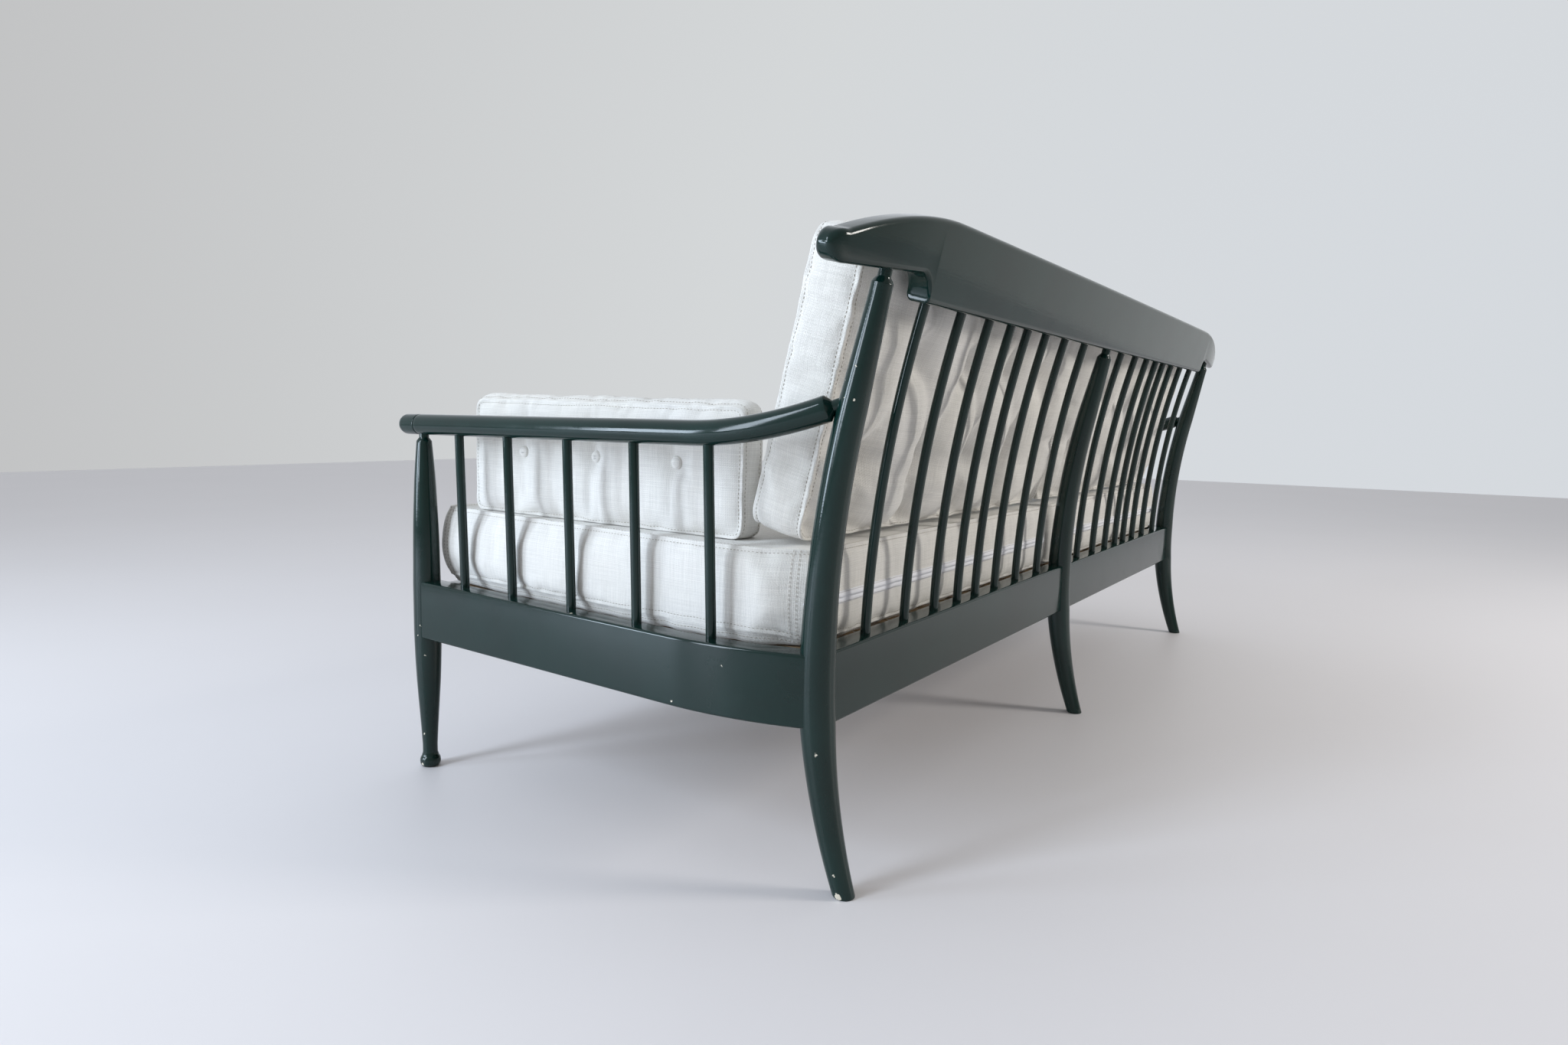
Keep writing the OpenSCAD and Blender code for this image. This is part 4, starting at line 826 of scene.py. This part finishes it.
def inflate(V, faces, pins, pressure, grow, cap, stiff=14.0, frames=18):
    """Blows a closed form up as cloth, with the pinned points held, and returns its points."""
    mesh = bpy.data.meshes.new("sim")
    mesh.from_pydata((V * MM).tolist(), [], faces)
    obj = placed("sim", mesh)
    group = obj.vertex_groups.new(name="pin")
    for i, w in pins.items():
        group.add([int(i)], float(w), "REPLACE")
    mod = obj.modifiers.new("cloth", "CLOTH")
    cloth = mod.settings
    cloth.quality, cloth.mass = 6, 0.25
    cloth.tension_stiffness = cloth.compression_stiffness = stiff
    cloth.shear_stiffness, cloth.bending_stiffness = stiff * 0.5, 0.35
    cloth.air_damping, cloth.tension_damping, cloth.compression_damping = 2.0, 8.0, 8.0
    cloth.use_pressure, cloth.uniform_pressure_force = True, pressure
    cloth.vertex_group_mass, cloth.pin_stiffness = "pin", 5.0
    cloth.shrink_min = -grow
    cloth.effector_weights.gravity = 0
    mod.collision_settings.use_collision = False
    mod.point_cache.frame_start, mod.point_cache.frame_end = 1, frames + 1
    for k in range(1, frames + 1):
        scene.frame_set(k)
    d = points_of(evaluated(obj).to_mesh()) - V
    scene.frame_set(1)
    bpy.data.objects.remove(obj)
    n = norm(d, axis=1)
    return V + d * (np.minimum(1, cap / np.maximum(n, 1e-6)))[:, None]


def crease(X, Y, points, depth, width, middle):
    """A fold along a curve by three points: a sharp valley with round lobes, shallower in its middle."""
    a, b, c = (np.array(q, float) for q in points)
    out = np.zeros(len(X))
    for t in np.linspace(0, 1, 40):
        p = (1 - t) ** 2 * a + 2 * t * (1 - t) * b + t * t * c
        strength = middle + (1 - middle) * abs(2 * t - 1) ** 1.5
        far = np.hypot(X - p[0], Y - p[1])
        valley = 0.55 * np.exp(-(np.hypot(far,
                                          2.0) - 2.0) / width) + 0.45 * np.exp(-(far / (3.2 * width)) ** 2)
        out = np.maximum(out, strength * valley)
    return depth * out


def of_linen(obj, body):
    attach(obj, body)


def finished(name, pad, V, place, side, body, node):
    """Turns a pad's points into its piece on the settee, subdivided, and returns where they are then."""
    P, faces = handed(side, place(V), pad.faces)
    uv = pad.uv if side > 0 else pad.uv.reshape(-1, 4, 2)[:, ::-1].reshape(-1, 2) * [-1, 1]
    cage = make(name + "_cage", P, faces, uv, sharp=0, materials=[LINEN])
    sub = cage.modifiers.new("sub", "SUBSURF")
    sub.levels = sub.render_levels = 1
    mesh = bpy.data.meshes.new_from_object(evaluated(cage))
    bpy.data.objects.remove(cage)
    mesh.name = name
    mesh.shade_smooth()
    obj = placed(name, mesh)
    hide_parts(node)
    of_linen(obj, body)
    return points_of(mesh)[:len(V)]


def seat_place(V):
    return in_seat(V + [rest_gap + seat_w / 2, seat_rear - seat_cushion_depth / 2,
                        deck_z + rest_gap + seat_cushion_t / 2])


def back_place(V):
    q = np.stack([V[:, 0], -V[:, 2], V[:, 1]], -1)
    return in_lean(q + [rest_gap + back_cushion_w / 2, back_rear_w - back_cushion_t / 2,
                        back_low_v + back_cushion_h / 2])


def arm_place(V):
    q = np.stack([V[:, 2], V[:, 0], V[:, 1]], -1)
    return in_seat(q + [arm_cushion_outer - arm_cushion_t / 2, arm_cushion_rear - arm_cushion_len / 2,
                        seat_top + arm_cushion_h / 2])


SETTLED = {}


def settle(kind, pad, V, pins, **kw):
    """The cloth step, run once for each kind of cushion; what tells the pair apart is sewn in afterwards."""
    if kind not in SETTLED:
        SETTLED[kind] = inflate(V, pad.faces, pins, **kw)
    return SETTLED[kind].copy()


def held_in(z, top, soft):
    """Heights eased in under a limit, so that folds laid afterwards keep their depth."""
    over = np.maximum(0, z - (top - soft))
    return np.minimum(z, top - soft) + soft * (1 - np.exp(-over / soft))


def seam_pins(pad):
    return {i: 1.0 for m in (0, pad.nb) for i in pad.border_loop(m)}


# seat cushions: how far the back cushion reaches over them, their crown, and how far their rounded lower
# edge stands off the slats all round, at the rear, and on top of that at the outer side
UNDER_BACK, SEAT_CROWN, EDGE_LIFT, REAR_LIFT, SIDE_LIFT = 112, 15.5, 14, 8, 5
# their outer side: what it leaves free before the arm spindles, how far it stays short of that, less below
SPINDLE_FREE, SIDE_SHORT, LOW_SWELL = 3, 14, 8


def seat_pad(seed):
    hx, hy, t = seat_w / 2, seat_cushion_depth / 2, seat_cushion_t
    under_arm = seat_outer - (arm_cushion_outer - arm_cushion_t - arm_crown)
    pad = Pad(hx, hy, t, step=11.0, corner=22, crowns=(7, 0), belly=(0, 12, 7, 5),
              box=(-hx, hx - under_arm, -hy, hy - UNDER_BACK))
    V = settle("seat", pad, pad.V.copy(), seam_pins(pad), pressure=3.0, grow=0.012, cap=16)
    V[pad.top, 2] = np.minimum(V[pad.top, 2], t / 2 + SEAT_CROWN * pad.puff)
    V[pad.bottom, 2] = -t / 2
    rise = np.zeros(len(V))
    rise[pad.bottom] = 1 - smooth_step(pad.D[pad.bottom] / 11)
    for m in range(1, pad.nb):
        rise[pad.border_loop(m)] = smooth_step((pad.depth[m] / t - 0.35) / 0.65)
    long_side = smooth_step((hy + V[:, 1]) / 160) * smooth_step((hy - V[:, 1]) / 75)
    long_side *= smooth_step((V[:, 0] - hx + 60) / 45)
    run = V[:, 1] + seat_rear - seat_cushion_depth / 2 - leg_y
    spindle_x = leg_x + np.minimum(run, 2 * side_straight - run) * heading_dir[0]
    spindle_x = spindle_x - arm_spindle_inset - arm_spindle_d / 2
    room = spindle_x - seat_outer - SPINDLE_FREE
    low = rise.copy()
    low[pad.bottom] = 1
    V[:, 0] += long_side * (room - SIDE_SHORT + LOW_SWELL * low)
    rear = smooth_step((V[:, 1] - hy + 40) / 40)
    V[:, 2] += (EDGE_LIFT + (REAR_LIFT - EDGE_LIFT) * rear + SIDE_LIFT * long_side) * rise
    boxing = [pad.column(hx, hy - 24), pad.column(hx, 24 - hy)]
    V = pad.sewn(V, seed, pucker=1.3, reach=15, columns=boxing)
    V[:, 2] = np.maximum(V[:, 2], -t / 2)
    flat = (pad.puff < 0.02) & (pad.D[pad.top] > 3)
    V[pad.top, 2] = np.where(flat, np.minimum(V[pad.top, 2], t / 2), V[pad.top, 2])
    V[:, 0] = np.clip(V[:, 0], -hx + 0.1, hx + np.clip(room, 24, 36))
    V[:, 1] = np.clip(V[:, 1], -hy - 9, hy + 5.2)
    return pad, V, boxing


def tufted(kind, pad, tufts, depth, reach, top, soft, **cloth):
    """A pad inflated with its tufts held down and its crown eased in under top; with the ways to a tuft."""
    near = np.min([np.hypot(pad.X - x, pad.Y - y) for x, y in tufts], 0)
    V, pins = pad.V.copy(), seam_pins(pad)
    for panel, sign in pad.panels:
        V[panel, 2] -= sign * depth * np.exp(-(near / reach) ** 2)
    for i in np.nonzero(near < 7)[0]:
        pins[i] = pins[pad.count + i] = 1.0
    V = settle(kind, pad, V, pins, **cloth)
    for panel, sign in pad.panels:
        V[panel, 2] = sign * held_in(sign * V[panel, 2], top, soft)
    return V, near


def back_tufts():
    hy = back_cushion_h / 2
    low = [(i * back_tuft_pitch, back_tuft_z - hy) for i in range(-2, 3)]
    up = [((i - 1.5) * back_tuft_pitch, back_tuft_z + back_tuft_rise - hy) for i in range(4)]
    return low, up


# folds of the back cushions: depth, width, and the share of the depth that is left in the middle
TUFT_TO_TUFT, TUFT_UP, TUFT_DOWN, ALONG_ROW = (25, 12, 0.75), (16, 12, 0.2), (32, 14, 0.85), (15, 10, 0.45)
LOW_END, LOW_CORNER, TOP_CORNER, TOP_END = (14, 10, 0.25), (14, 10, 0.35), (13, 10, 0.2), (13, 10, 0.3)


def back_folds(pad, near, draws):
    """How deep the folds of one panel are at each of its points, with draws for their unevenness."""
    hx, hy = pad.hx, pad.hy
    low, up = back_tufts()
    fold = np.zeros(pad.count)

    def lay(a, b, bow, depth, width, middle):
        nonlocal fold
        a, b = np.array(a, float), np.array(b, float)
        mid = (a + b) / 2 + np.array([a[1] - b[1], b[0] - a[0]]) * bow
        depth, width = depth * draws.uniform(0.85, 1.15), width * draws.uniform(0.9, 1.2)
        fold = np.maximum(fold, crease(pad.X, pad.Y, (a, mid, b), depth, width, middle))
    for q in up:
        for r in low:
            if abs(q[0] - r[0]) < back_tuft_pitch:
                lay(q, r, 0.24 * (1 if q[0] < r[0] else -1) * draws.uniform(0.5, 1.3), *TUFT_TO_TUFT)
        lay(q, (q[0] + draws.uniform(-10, 10), q[1] + 84), draws.uniform(-0.2, 0.2), *TUFT_UP)
    for r in low:
        lay(r, (r[0] + draws.uniform(-12, 12), 4 - hy), draws.uniform(-0.22, 0.22), *TUFT_DOWN)
    for a, b in zip(low, low[1:]):
        lay(a, b, -0.22 * draws.uniform(0.7, 1.2), *ALONG_ROW)
    for r, way in ((low[0], -1), (low[-1], 1)):
        lay(r, (way * (hx - 26), r[1] + 34), 0.16 * way, *LOW_END)
        lay(r, (way * (hx - 20), 12 - hy), -0.16 * way, *LOW_CORNER)
    for q, way in ((up[0], -1), (up[-1], 1)):
        lay(q, (way * (hx - 60), q[1] + 58), 0.14 * way, *TOP_CORNER)
        lay(q, (way * (hx - 24), q[1] - 52), 0.16 * way, *TOP_END)
    return fold * smooth_step(pad.D[pad.top] / 13) + 7 * np.exp(-near / 10)


def back_pad(seed):
    hx, hy, top = back_cushion_w / 2, back_cushion_h / 2, back_cushion_t / 2 + back_crown
    pad = Pad(hx, hy, back_cushion_t, step=7.2, corner=26, crowns=(24, 24), belly=(0, 3, 0, 4))
    low, up = back_tufts()
    V, near = tufted("back", pad, low + up, depth=13, reach=24, top=top - 1, soft=12,
                     pressure=3.5, grow=0.03, cap=22, stiff=10)
    draws = np.random.default_rng(seed)
    for panel, sign in pad.panels:
        V[panel, 2] -= sign * back_folds(pad, near, draws)
    V = pad.sewn(V, seed, pucker=1.2, reach=14)
    V[:, 2] = np.clip(V[:, 2], -top, top)
    V[:, 0] = np.clip(V[:, 0], -hx + 0.1, hx + 6)
    V[:, 1] = np.clip(V[:, 1], -hy, hy + 7)
    return pad, V, []


def arm_tufts():
    return [(i * arm_button_pitch, arm_button_z - arm_cushion_h / 2) for i in (-1, 0, 1)]


# folds round each button of the arm cushions: where they end, and their depth
BUTTON_FOLDS = ((-8, -70, 3.6), (12, -58, 3.0), (-46, -30, 2.0), (44, -26, 2.0), (-30, 42, 2.2),
                (28, 44, 2.2))


def arm_pad(seed):
    hx, hy, top = arm_cushion_len / 2, arm_cushion_h / 2, arm_cushion_t / 2 + arm_crown
    pad = Pad(hx, hy, arm_cushion_t, step=7.5, corner=16, crowns=(8, 8), belly=(3, 3, 0, 9))
    V, near = tufted("arm", pad, arm_tufts(), depth=5.5, reach=20, top=top - 0.5, soft=5,
                     pressure=3.0, grow=0.02, cap=12, stiff=12)
    draws = np.random.default_rng(seed)
    for panel, sign in pad.panels:
        fold = np.zeros(pad.count)
        for q in arm_tufts():
            for dx, dy, depth in BUTTON_FOLDS:
                end = (q[0] + dx + draws.uniform(-8, 8), q[1] + dy + draws.uniform(-6, 6))
                mid = ((q[0] + end[0]) / 2 + draws.uniform(-7, 7), (q[1] + end[1]) / 2)
                fold = np.maximum(fold, crease(pad.X, pad.Y, (q, mid, end), depth, 9, 0.4))
        fold += 2.0 * np.exp(-(near / 10) ** 2)
        V[panel, 2] -= sign * fold * smooth_step(pad.D[pad.top] / 10)
    V = pad.sewn(V, seed, pucker=1.1, reach=12)
    V[:, 2] = np.clip(V[:, 2], -top, top)
    V[:, 1] = np.clip(V[:, 1], -hy, hy + 16)
    return pad, V, []


def stitch_nodes():
    """Geometry Nodes that lay short stitches along the edges of a mesh, and their three settings."""
    tree = bpy.data.node_groups.new("stitches", "GeometryNodeTree")

    def socket(name, kind, way="INPUT"):
        return tree.interface.new_socket(name, in_out=way, socket_type="NodeSocket" + kind).identifier
    socket("Geometry", "Geometry")
    settings = socket("Pitch", "Float"), socket("Size", "Vector"), socket("Material", "Material")
    socket("Geometry", "Geometry", "OUTPUT")
    given = add(tree, "NodeGroupInput").outputs
    curve = add(tree, "GeometryNodeMeshToCurve", {0: given[0]}).outputs[0]
    points = add(tree, "GeometryNodeCurveToPoints", {"Curve": curve, "Length": given["Pitch"]},
                 mode="LENGTH").outputs
    ball = add(tree, "GeometryNodeMeshIcoSphere", {"Radius": 1.0, "Subdivisions": 1}).outputs["Mesh"]
    laid = add(tree, "GeometryNodeInstanceOnPoints", {
        "Points": points["Points"], "Rotation": points["Rotation"],
        "Instance": ball, "Scale": given["Size"]})
    real = add(tree, "GeometryNodeRealizeInstances", {0: laid.outputs[0]}).outputs[0]
    thread = add(tree, "GeometryNodeSetMaterial",
                 {"Geometry": real, "Material": given["Material"]}).outputs[0]
    add(tree, "NodeGroupOutput", {0: thread})
    return tree, settings


STITCHES = stitch_nodes()


def stitched(name, runs, body, pitch=5.4, size=(0.48, 0.48, 1.95), material=THREAD):
    """Stitches along runs of points in millimetres; each run is (points, closed)."""
    verts, edges = [], []
    for points, closed in runs:
        k = len(verts)
        verts += [tuple(q) for q in np.asarray(points) * MM]
        edges += [(k + i, k + i + 1) for i in range(len(points) - 1)]
        if closed:
            edges.append((k + len(points) - 1, k))
    mesh = bpy.data.meshes.new(name + "_path")
    mesh.from_pydata(verts, edges, [])
    path = placed(name + "_path", mesh)
    mod = path.modifiers.new("stitches", "NODES")
    mod.node_group, (p, z, m) = STITCHES
    mod[p], mod[z], mod[m] = pitch * MM, tuple(q * MM for q in size), material
    out = bpy.data.meshes.new_from_object(evaluated(path))
    bpy.data.objects.remove(path)
    if not out.materials:
        out.materials.append(material)
    out.shade_smooth()
    of_linen(placed(name, out), body)


# a button's shape, as shares of its radius and heights, and how far it stands out of its tuft
BUTTON_SHAPE = ((0.62, -2.2), (0.86, -1.6), (0.985, -0.4), (1.0, 0.9), (0.965, 2.2), (0.88, 3.3),
                (0.74, 4.15),
                (0.55, 4.75), (0.3, 5.1), (0.04, 5.2))
BUTTON_LIFT = 2.2


def covered_buttons(name, pad, V, tufts, place, side, body, node):
    """Fabric-covered buttons with a soft rim and fine gathers, one on each face of every tuft."""
    r, verts, faces = button_d / 2, [], []
    a = np.arange(48) * 2 * pi / 48
    for q in tufts:
        i = pad.panel_index(*q)
        for panel, sign in pad.panels:
            z = V[panel, 2][i] + sign * BUTTON_LIFT
            rings = []
            for f, h in BUTTON_SHAPE:
                gathered = r * f * (1 + 0.016 * np.cos(16 * a) * (f > 0.6) + 0.01 * np.sin(5 * a))
                x, y = q[0] + sign * gathered * np.cos(a), q[1] + gathered * np.sin(a)
                rings.append(np.stack([x, y, np.full(48, z + sign * h)], -1))
            v, more = loft(rings)
            k = sum(map(len, verts))
            verts.append(v)
            faces += [tuple(k + j for j in face) for face in more]
    P, faces = handed(side, place(np.concatenate(verts)), faces)
    uv = np.concatenate([np.asarray(P)[list(f)][:, [0, 2]] for f in faces]) * MM
    obj = make(name, P, faces, uv, sharp=0, materials=[LINEN])
    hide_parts(node)
    of_linen(obj, body)


# how far the stitches stand on the cloth, and how far beside a cross seam and over it its own stitches run
STITCH_RISE, CROSS_ASIDE, CROSS_RISE = 0.25, 4.5, 1.1


def pad_set(kind, maker, place, seeds, nodes, tufts=(), button_node=None):
    """The left and the right cushion of a kind, with their stitches, buttons and zips."""
    for side, hand in (("left", 1), ("right", -1)):
        body = {"seat": "seat_", "back": "back_", "arm": "arm_pad_"}[kind] + side
        pad, V, boxing = maker(seeds[hand < 0])
        P = finished(f"{kind}_pad_{side}", pad, V, place, hand, body, nodes + side)
        N = pad.normals(P) * hand
        rows = [int(np.argmin(abs(pad.depth - q))) for q in (SEAM_OFF, pad.t - SEAM_OFF)]
        runs = [(P[i] + N[i] * STITCH_RISE, True) for which in (0, 1)
                for i in (pad.panel_loop(which, 2), pad.border_loop(rows[which]))]
        for k in boxing:
            for near in (-1, 1):
                mid, beside = (np.array([pad.ring(m, q) for m in range(1, pad.nb)]) for q in (k, k + near))
                aside = P[beside] - P[mid]
                aside /= norm(aside, axis=1)[:, None]
                runs.append((P[mid] + aside * CROSS_ASIDE + N[mid] * CROSS_RISE, False))
        stitched(f"{kind}_stitches_{side}", runs, body)
        if button_node:
            covered_buttons(f"{kind}_covered_buttons_{side}", pad, V, tufts, place, hand, body,
                            button_node + side)
        if kind == "seat":
            zip_of(side, hand, pad, P, N, body)


# the zip's tape, as places across its run and heights over the cloth; how far the tape lies under the
# border's middle, and how far off the tape's own middle its teeth and its seams are
ZIP_TAPE = ((-9.3, -0.6), (-9.0, 1.0), (-4, 1.5), (-1.3, 1.6), (-0.9, 0.8), (0.9, 0.8), (1.3, 1.6), (4, 1.5),
            (9.0, 1.0), (9.3, -0.6))
ZIP_DROP, TEETH_OFF, ZIP_SEAM_OFF = 6, 0.55, 7.4


def zip_of(side, hand, pad, P, N, body):
    """The zip: a tape sewn to the rear border by two seams, with its teeth along the middle."""
    cols = range(pad.column(pad.hx, pad.hy - 14), pad.column(-pad.hx + 26, pad.hy) + 1)

    def over(k, off, height, facing=None):
        """The point of column k off the zip's middle, raised from the cloth as it faces at facing."""
        return blend(P, k, off) + blend(N, k, off if facing is None else facing) * height

    def blend(values, k, off):
        depth = pad.t / 2 + ZIP_DROP + off
        m = int(np.clip(np.searchsorted(pad.depth, depth) - 1, 0, pad.nb - 1))
        f = (depth - pad.depth[m]) / (pad.depth[m + 1] - pad.depth[m])
        return values[pad.ring(m, k)] * (1 - f) + values[pad.ring(m + 1, k)] * f

    V = np.array([over(k, d, h) for k in cols for d, h in ZIP_TAPE])
    faces = [f[::hand] for f in strip_faces(len(cols), len(ZIP_TAPE), False)]
    uv = np.concatenate([V[list(f)][:, [0, 2]] for f in faces]) * MM
    of_linen(make(f"zip_tape_{side}", V, faces, uv, sharp=0, materials=[ZIP]), body)
    teeth, seams = ([(np.array([over(k, off, h, facing) for k in cols]), False) for off in (-gap, gap)]
                    for gap, h, facing in ((TEETH_OFF, 1.5, 0), (ZIP_SEAM_OFF, 1.45, None)))
    stitched(f"zip_teeth_{side}", teeth, body, pitch=2.6, size=(1.25, 0.75, 0.75), material=ZIP)
    stitched(f"zip_seams_{side}", seams, body, pitch=4.2, size=(0.4, 0.4, 1.5))


low_tufts, up_tufts = back_tufts()
pad_set("seat", seat_pad, seat_place, (3, 33), "seat_cushion_")
pad_set("back", back_pad, back_place, (5, 55), "back_cushion_", low_tufts + up_tufts, "back_buttons_")
pad_set("arm", arm_pad, arm_place, (7, 77), "arm_cushion_", arm_tufts(), "arm_buttons_")

# floor, light and camera
def stage_material(name, colour, rough):
    mat, tree, coords = blank_material(name)
    shade = tuple(v * 0.965 for v in colour) + (1,)
    finish_surface(tree, mix_colour(tree, noise(tree, coords, 1.6, 4.0), shade, tuple(colour) + (1,)), rough)
    return mat


FLOOR_HALF = 9000
corners = [[x * FLOOR_HALF, y * FLOOR_HALF, 0] for x, y in ((-1, -1), (1, -1), (1, 1), (-1, 1))]
floor = make("floor", corners, [(0, 1, 2, 3)], sharp=0,
             materials=[stage_material("pale_floor", (0.735, 0.712, 0.725), 0.5)])

world = bpy.data.worlds.new("studio")
scene.world = world
world_tree = nodes_of(world)
way = add(world_tree, "ShaderNodeSeparateXYZ",
          {0: add(world_tree, "ShaderNodeTexCoord").outputs["Generated"]})
front = math_node(world_tree, "MULTIPLY_ADD", way.outputs[1], -0.5, 0.5)
far_end = math_node(world_tree, "MULTIPLY_ADD", way.outputs[0], -0.5, 0.5)
# what the settee mirrors, from the rear to the bright front, and the wall that the camera sees
ROOM = [(0.05, (0.36, 0.35, 0.33, 1)), (0.45, (0.52, 0.53, 0.54, 1)), (0.80, (0.80, 0.84, 0.90, 1))]
WALL = [(0.30, (0.54, 0.545, 0.55, 1)), (0.80, (0.66, 0.68, 0.69, 1)), (1.0, (0.67, 0.70, 0.735, 1))]
around = mix_colour(world_tree, 1.0, ramp(world_tree, front, ROOM),
                    steps(world_tree, far_end, 0.6, 1.0, 0.92, 1.3), "MULTIPLY")
seen = ramp(world_tree, times(world_tree, way.outputs[0], -1.0), WALL)
light_path = add(world_tree, "ShaderNodeLightPath")
sky = mix_colour(world_tree, light_path.outputs["Is Camera Ray"], around, seen)
back = add(world_tree, "ShaderNodeBackground", {0: sky, 1: 1.0})
world_tree.links.new(back.outputs[0], add(world_tree, "ShaderNodeOutputWorld").inputs[0])


def area(name, at, target, size, energy, colour):
    light = bpy.data.lights.new(name, "AREA")
    light.shape, light.size, light.size_y = "RECTANGLE", size[0], size[1]
    light.energy, light.color = energy, colour
    z = np.array(at, float) - np.array(target, float)
    z /= norm(z)
    x = np.cross([0, 0, 1], z)
    x /= norm(x)
    y = np.cross(z, x)
    placed(name, light).matrix_world = Matrix([*map(list, zip(x, y, z, at)), [0, 0, 0, 1]])


# name, place, aim, width and height, watts and colour
for lamp in (("window_left", (3.95, -1.35, 1.9), (0.8, 0.0, 0.4), (0.85, 3.0), 104, (0.76, 0.87, 1.0)),
             ("window_low", (3.6, -2.6, 0.95), (0.9, -0.1, 0.5), (0.8, 1.3), 52, (0.72, 0.85, 1.0)),
             ("window_right", (-1.4, 3.9, 2.3), (0.1, 0.3, 0.5), (1.0, 1.5), 88, (1.0, 0.97, 0.92))):
    area(*lamp)

# the camera, solved from the settee's own edges in the photograph
CAMERA_PLACE, CAMERA_LENS = (1.9121, 0.9250, 0.570), 22.557
yaw, pitch, roll = rad(212.98664), rad(-6.06124), rad(1.06372)
ahead = np.array([cos(yaw) * cos(pitch), sin(yaw) * cos(pitch), sin(pitch)])
level = np.array([sin(yaw), -cos(yaw), 0])
above = np.cross(level, ahead)
across, upward = cos(roll) * level + sin(roll) * above, -sin(roll) * level + cos(roll) * above
camera_data = bpy.data.cameras.new("photo_view")
camera_data.sensor_fit, camera_data.sensor_width, camera_data.lens = "HORIZONTAL", 36.0, CAMERA_LENS
camera_data.clip_start, camera_data.clip_end = 0.05, 50
camera = placed("photo_view", camera_data)
camera.matrix_world = Matrix([*map(list, zip(across, upward, -ahead, CAMERA_PLACE)), [0, 0, 0, 1]])
scene.camera = camera
scene.view_settings.view_transform = "Standard"
